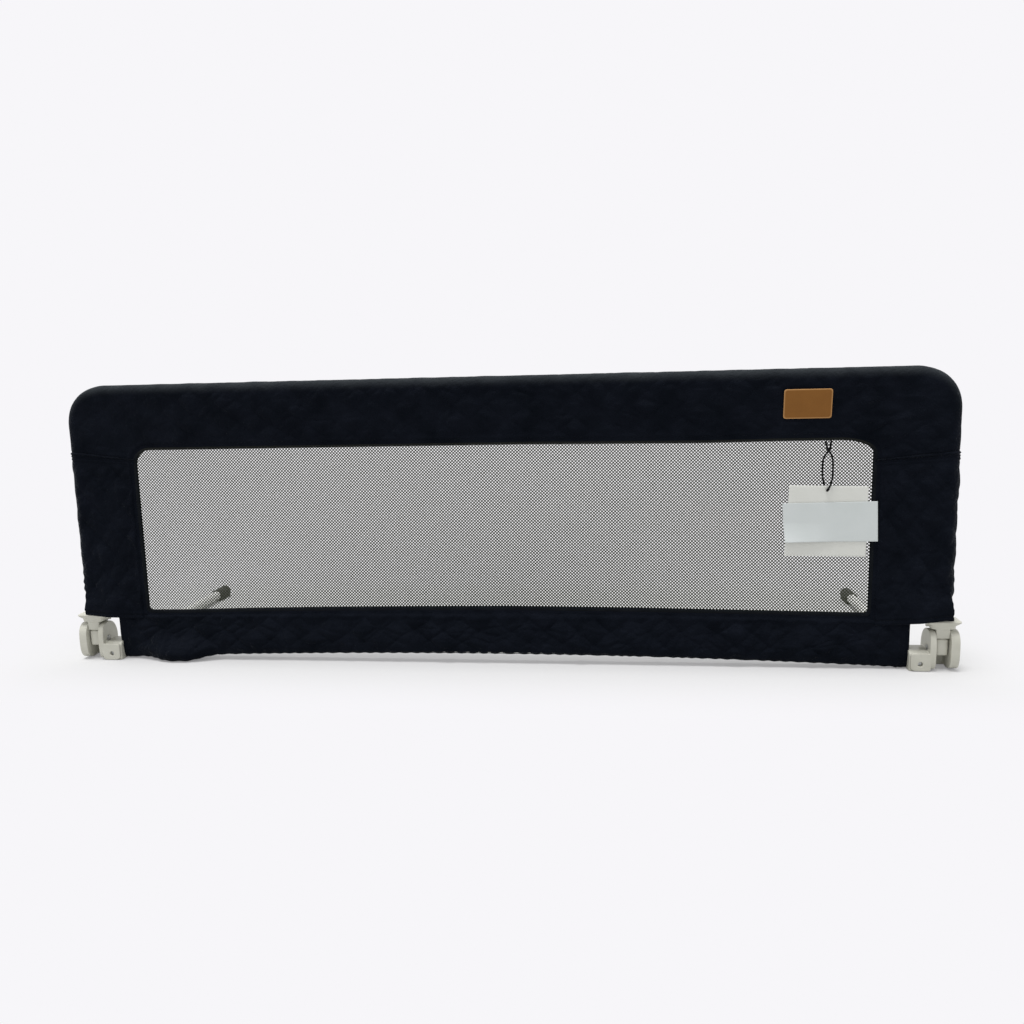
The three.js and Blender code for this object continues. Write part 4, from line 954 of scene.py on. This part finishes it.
def make_patch():
    """A bare leather patch with a softened edge, paler round its rim, sewn to the top band."""
    width = patch_high.x - patch_low.x
    rise, run = patch_high.z - patch_low.z, patch_low.y - patch_high.y
    height = math.hypot(rise, run)
    shape = bmesh.new()
    rim_share = shape.verts.layers.float.new("rim")
    outline = round_corners([
        (sx * (width / 2 - PATCH_CORNER), sz * (height / 2 - PATCH_CORNER), PATCH_CORNER, PATCH_CORNER, first)
        for sx, sz, first in ((1, 1, 0), (-1, 1, 90), (-1, -1, 180), (1, -1, 270))], 9)
    rings = []
    for inset, stands in PATCH_RINGS:
        scale_x, scale_z = 1 - 2 * inset / width, 1 - 2 * inset / height
        rings.append([shape.verts.new((x * scale_x, -PATCH_THICKNESS * stands, z * scale_z))
                      for x, z in outline])
        for vert in rings[-1]:
            vert[rim_share] = 1 - smoothstep(inset, 0.0004, 0.0024)
    for a, b in zip(rings, rings[1:]):
        join_rings(shape, a, b)
    shape.faces.new(rings[-1])
    shape.faces.new(rings[0][::-1])
    bmesh.ops.recalc_face_normals(shape, faces=shape.faces)
    for face in shape.faces:
        face.smooth = len(face.verts) == 4
    mesh = bpy.data.meshes.new("leather_patch_skin")
    shape.to_mesh(mesh)
    shape.free()
    place = (patch_low + patch_high) / 2 - Vector((0, PATCH_STANDS, 0))
    mesh.transform(Matrix.Translation(place) @ Matrix.Rotation(math.atan2(-run, rise), 4, "X"))
    new_piece("leather_patch_skin", mesh, "tan_leather", "guard", ["leather_patch"])


def join_rings(shape, a, b):
    """Adds the faces between two rings of points."""
    for k in range(len(a)):
        after = (k + 1) % len(a)
        shape.faces.new((a[k], a[after], b[after], b[k]))


# The moulded parts

MOULD_STEP = 0.0008  # of the skins' surface
INNER_CHEEK = (0.7163, 0.7263)  # where the brackets' cheeks lie on X
OUTER_CHEEK = (0.7487, 0.7627)
CHEEK_FOOT = 0.0018  # clear of the collar, which comes under the cheeks when the guard is down
CHEEK_HOLE = 0.8  # of the added rings' hole, in shares of the ring, inside the cheek's own solid
PLATE = ((0.7025, 0.0157), (0.0160, 0.0149))  # the plate in front of the leg's block: middle and half size
PLATE_THICKNESS = 0.006
LEG_AXIS = (0.7020, 0.0125)
LEG_BORE = 0.0039
KNUCKLE_REACH = 0.0103
KNUCKLE_MIDDLE = (0.03875, 0.01375)  # height of the middle of the knuckle's front, and half its height
PIN_BORE = 0.0044
TURN = np.linspace(0, 2 * math.pi, 72, endpoint=False)


def rounded_loop(centre, half, *powers):
    """Points round a rounded rectangle. A higher power makes a squarer corner, by quarters from + + on."""
    c, s = np.cos(TURN), np.sin(TURN)
    power = np.array(powers * (4 // len(powers)), float)[(TURN / (math.pi / 2)).astype(int)]
    reach = (np.abs(c / half[0]) ** power + np.abs(s / half[1]) ** power) ** (-1 / power)
    return np.stack([centre[0] + reach * c, centre[1] + reach * s], 1)


def add_ring(shape, sections):
    """Adds a solid with a hole through it. Each section is its outer and its inner outline."""
    rings = [[[shape.verts.new(tuple(point)) for point in outline] for outline in section]
             for section in sections]
    walls = [(rings[0][1], rings[0][0]), (rings[-1][0], rings[-1][1])]
    for (outer, inner), (next_outer, next_inner) in zip(rings, rings[1:]):
        walls += [(outer, next_outer), (next_inner, inner)]
    for a, b in walls:
        join_rings(shape, a, b)


def across(x, outline):
    """An outline in Y and Z at a place on X."""
    return np.stack([np.full(len(outline), x), outline[:, 0], outline[:, 1]], 1)


def add_bracket_parts(shape, side):
    """The plate in front of the leg's block, flush with the inner cheek, and the cheeks' full shoulders."""
    plate = rounded_loop(*PLATE, 8, 8, 4, 8)
    bore = rounded_loop(LEG_AXIS, (LEG_BORE, LEG_BORE), 2)
    add_ring(shape, [[np.insert(line * (side, 1), 1, y, 1) for line in (plate, bore)]
                     for y in (bracket_low.y, bracket_low.y + PLATE_THICKNESS)])
    centre = ((bracket_low.y + bracket_high.y) / 2, (bracket_high.z + CHEEK_FOOT) / 2)
    half = np.array(((bracket_high.y - bracket_low.y) / 2, (bracket_high.z - CHEEK_FOOT) / 2))
    for ends, front_foot in ((INNER_CHEEK, 5), (OUTER_CHEEK, 3)):
        outer = rounded_loop(centre, half, 2, 3.2, front_foot, 2)
        inner = rounded_loop(centre, CHEEK_HOLE * half, 2)
        add_ring(shape, [[across(side * x, line) for line in (outer, inner)] for x in ends])


def add_knuckle_parts(shape, side):
    """A squarer front for the knuckle between the cheeks, with the pin's bore through it."""
    bore = rounded_loop(((pin_low.y + pin_high.y) / 2, (pin_low.z + pin_high.z) / 2), (PIN_BORE, PIN_BORE), 2)
    middle_z, half_z = KNUCKLE_MIDDLE
    sections = []
    for off in np.linspace(-0.0098, 0.0098, 15):
        front = MID_Y - 0.0032 - KNUCKLE_REACH * (1 - abs(off / KNUCKLE_REACH) ** 4) ** 0.25
        outer = rounded_loop(((front + MID_Y) / 2, middle_z), ((MID_Y - front) / 2, half_z), 7)
        sections.append([across(side * UPRIGHT_X + off, line) for line in (outer, bore)])
    add_ring(shape, sections)


def make_moulded(node, body, side, add_parts=None):
    """The skin of a moulded node: its solid and what is added to it, with softened edges."""
    source = frame["nodes"][node]
    shape = bmesh.new()
    shape.from_mesh(source.data)
    shape.transform(source.matrix_world)
    if add_parts:
        add_parts(shape, side)
    bmesh.ops.recalc_face_normals(shape, faces=shape.faces)
    rough = bpy.data.objects.new(node + "_rough", bpy.data.meshes.new(node + "_rough"))
    shape.to_mesh(rough.data)
    shape.free()
    link(rough)
    remesh = rough.modifiers.new("skin", "REMESH")
    remesh.mode = "VOXEL"
    remesh.voxel_size = MOULD_STEP
    soften = rough.modifiers.new("soft", "SMOOTH")
    soften.factor = 0.5
    soften.iterations = 6
    skin = bpy.data.meshes.new_from_object(rough.evaluated_get(bpy.context.evaluated_depsgraph_get()))
    bpy.data.objects.remove(rough)
    skin.polygons.foreach_set("use_smooth", [True] * len(skin.polygons))
    new_piece(node + "_skin", skin, "white_plastic", body, [node])


def make_moulded_parts():
    for side, name in ((-1, "left"), (1, "right")):
        make_moulded(name + "_bracket", "base", side, add_bracket_parts)
        make_moulded(name + "_knuckle", "guard", side, add_knuckle_parts)
        make_moulded(name + "_lock_collar", name + "_lock", side)


# The window's lower and upper edges are not quite straight.

FOOT_BOW = ((-0.66, -0.0032), (-0.56, -0.0022), (-0.45, 0.0012), (-0.30, 0.0044), (-0.12, 0.0068),
            (0.03, 0.0083), (0.24, 0.0067), (0.40, 0.0041), (0.57, 0.0014), (0.66, 0.0))
TOP_BOW = ((-0.66, 0.0), (0.05, 0.0), (0.20, -0.0013), (0.345, -0.0024), (0.48, -0.0012), (0.66, -0.0010))


def bow_window(*names):
    """Draws the cloth round the window up along its foot and down along its top, as the photograph shows."""
    foot, top = WINDOW_FOOT, WINDOW_TOP
    for name in names:
        mesh = bpy.data.objects[name].data
        flat = np.empty(3 * len(mesh.vertices), np.float32)
        mesh.vertices.foreach_get("co", flat)
        x, z = flat[0::3], flat[2::3]
        foot_share = smoothstep(z, FOLD_ZONE[1], foot) * (1 - smoothstep(z, foot + 0.002, foot + 0.11))
        top_share = smoothstep(z, top - 0.09, top - 0.002) * (1 - smoothstep(z, top, top + 0.06))
        rise = foot_share * np.interp(x, *zip(*FOOT_BOW)) + top_share * np.interp(x, *zip(*TOP_BOW))
        flat[2::3] += rise.astype(np.float32)
        mesh.vertices.foreach_set("co", flat)
        mesh.update()


# The hardware, whose CAD solids stay

def finish_hardware():
    """Gives each CAD node that stays its material, and smooth shading with its sharp edges kept."""
    for body_nodes in frame["record"]["behaviour"]["bodies"].values():
        for node in body_nodes:
            piece = frame["nodes"][node]
            slot = slot_of(node)
            piece.data.materials.clear()
            piece.data.materials.append(MATERIALS[slot])
            piece.data.polygons.foreach_set("use_smooth", [True] * len(piece.data.polygons))
            piece.modifiers.new("weld", "WELD").merge_threshold = 1e-6
            piece.modifiers.new("sharp", "EDGE_SPLIT").split_angle = math.radians(35)


# The material of a node, by the first words that its name holds. The rest is cloth, which pieces replace.
NODE_SLOTS = (
    (("screw", "pin", "nut", "spring"), "zinc_steel"), (("tube", "rail", "joiner"), "painted_steel"),
    (("foot",), "black_rubber"), (("leg",), "painted_steel"),
    (("bracket", "knuckle", "collar"), "white_plastic"))


def slot_of(node):
    return next((slot for words, slot in NODE_SLOTS if any(word in node for word in words)), "navy_quilt")


# The room

SHADOW_REACH = 0.24  # how far from the object the floor still shows its shadow
LEAST_PALE = 0.20  # share of the floor's own pale tone that shows even beside the object
KEY_LIGHT = 0.88  # how brightly the key light shows a white surface that faces it
KEY_FROM = (-0.12, -0.10, 1.0)
ROOM_LIGHT = 0.72
FLOOR_SHOWN = 0.582  # the floor's reflectance for the camera, which shows it pale where no shadow falls
FLOOR_BOUNCE = 0.56  # and for the light that it throws back on the object
FLOOR_SIZE = 14.0
KEY_SPREAD = 24  # degrees across, for the shadow's soft edge
PALE = srgb(247, 246, 249)  # the floor away from the object, and the backdrop


def make_room():
    """A pale floor that keeps the object's shadow, a backdrop of the same tone, and soft light from above."""
    material, tree, shader = new_material("floor", Roughness=0.9, Specular_IOR_Level=0.0)
    camera_ray = add_node(tree, "LightPath").outputs["Is Camera Ray"]
    feed(tree, shader.inputs["Base Color"],
         tones(tree, camera_ray, (*[FLOOR_BOUNCE] * 3, 1), (*[FLOOR_SHOWN] * 3, 1), 0.0, 1.0))
    vector = add_node(tree, "NewGeometry").outputs["Position"]
    for operation, *other in (("ABSOLUTE",), ("SUBTRACT", (UPRIGHT_X, abs(MID_Y), 1.0)), ("MAXIMUM",)):
        vector = add_node(tree, "VectorMath", vector, *other, operation=operation)
    distance = add_node(tree, "VectorMath", vector, operation="LENGTH").outputs["Value"]
    share = add_node(tree, "MapRange", interpolation_type="SMOOTHSTEP", Value=distance,
                     From_Max=SHADOW_REACH, To_Min=LEAST_PALE)
    far_floor = add_node(tree, "Emission", PALE)
    mix = add_node(tree, "MixShader", math_node(tree, "MULTIPLY", share, camera_ray), shader, far_floor)
    feed(tree, tree.nodes["Material Output"].inputs["Surface"], mix)
    corners = [(x * FLOOR_SIZE, y * FLOOR_SIZE, 0) for x, y in ((-1, -1), (1, -1), (1, 1), (-1, 1))]
    mesh = new_mesh("floor", corners, [(0, 1, 2, 3)], smooth=False)
    mesh.materials.append(material)
    floor = bpy.data.objects.new("floor", mesh)
    link(floor)

    world = bpy.data.worlds.new("room")
    bpy.context.scene.world = world
    world.use_nodes = True
    tree = world.node_tree
    ground = tree.nodes["Background"]
    ground.inputs["Color"].default_value = (1, 1, 1, 1)
    ground.inputs["Strength"].default_value = ROOM_LIGHT
    ways = add_node(tree, "LightPath").outputs
    seen = math_node(tree, "MAXIMUM", ways["Is Camera Ray"], ways["Is Glossy Ray"])
    mix = add_node(tree, "MixShader", seen, ground, add_node(tree, "Background", PALE))
    feed(tree, tree.nodes["World Output"].inputs["Surface"], mix)

    lamp = bpy.data.lights.new("key", "SUN")
    lamp.energy = KEY_LIGHT * math.pi
    lamp.angle = math.radians(KEY_SPREAD)
    key = bpy.data.objects.new("key", lamp)
    key.rotation_euler = Vector(KEY_FROM).to_track_quat("Z", "Y").to_euler()
    link(key)


make_camera()
make_tag()
make_cover_top()
make_cover_side("cover_left_cloth", "cover_left", -1, TUCK - WINDOW_LEFT, SEAM_LEFT, HEM_LEFT)
make_cover_side("cover_right_cloth", "cover_right", 1, WINDOW_RIGHT + TUCK, SEAM_RIGHT, HEM_RIGHT)
make_band()
make_binding()
make_net()
make_stitches("seam_stitches", SEAM_STITCHES, "guard")
make_stitches("hem_stitches", HEM_STITCHES, "base")
make_patch()
bow_window("cover_top_cloth", "cover_left_cloth", "cover_right_cloth", "cover_band_cloth",
           "window_binding_tape", "window_net", "seam_stitches")
make_moulded_parts()
finish_hardware()
make_room()
bpy.context.scene.view_settings.view_transform = "Standard"
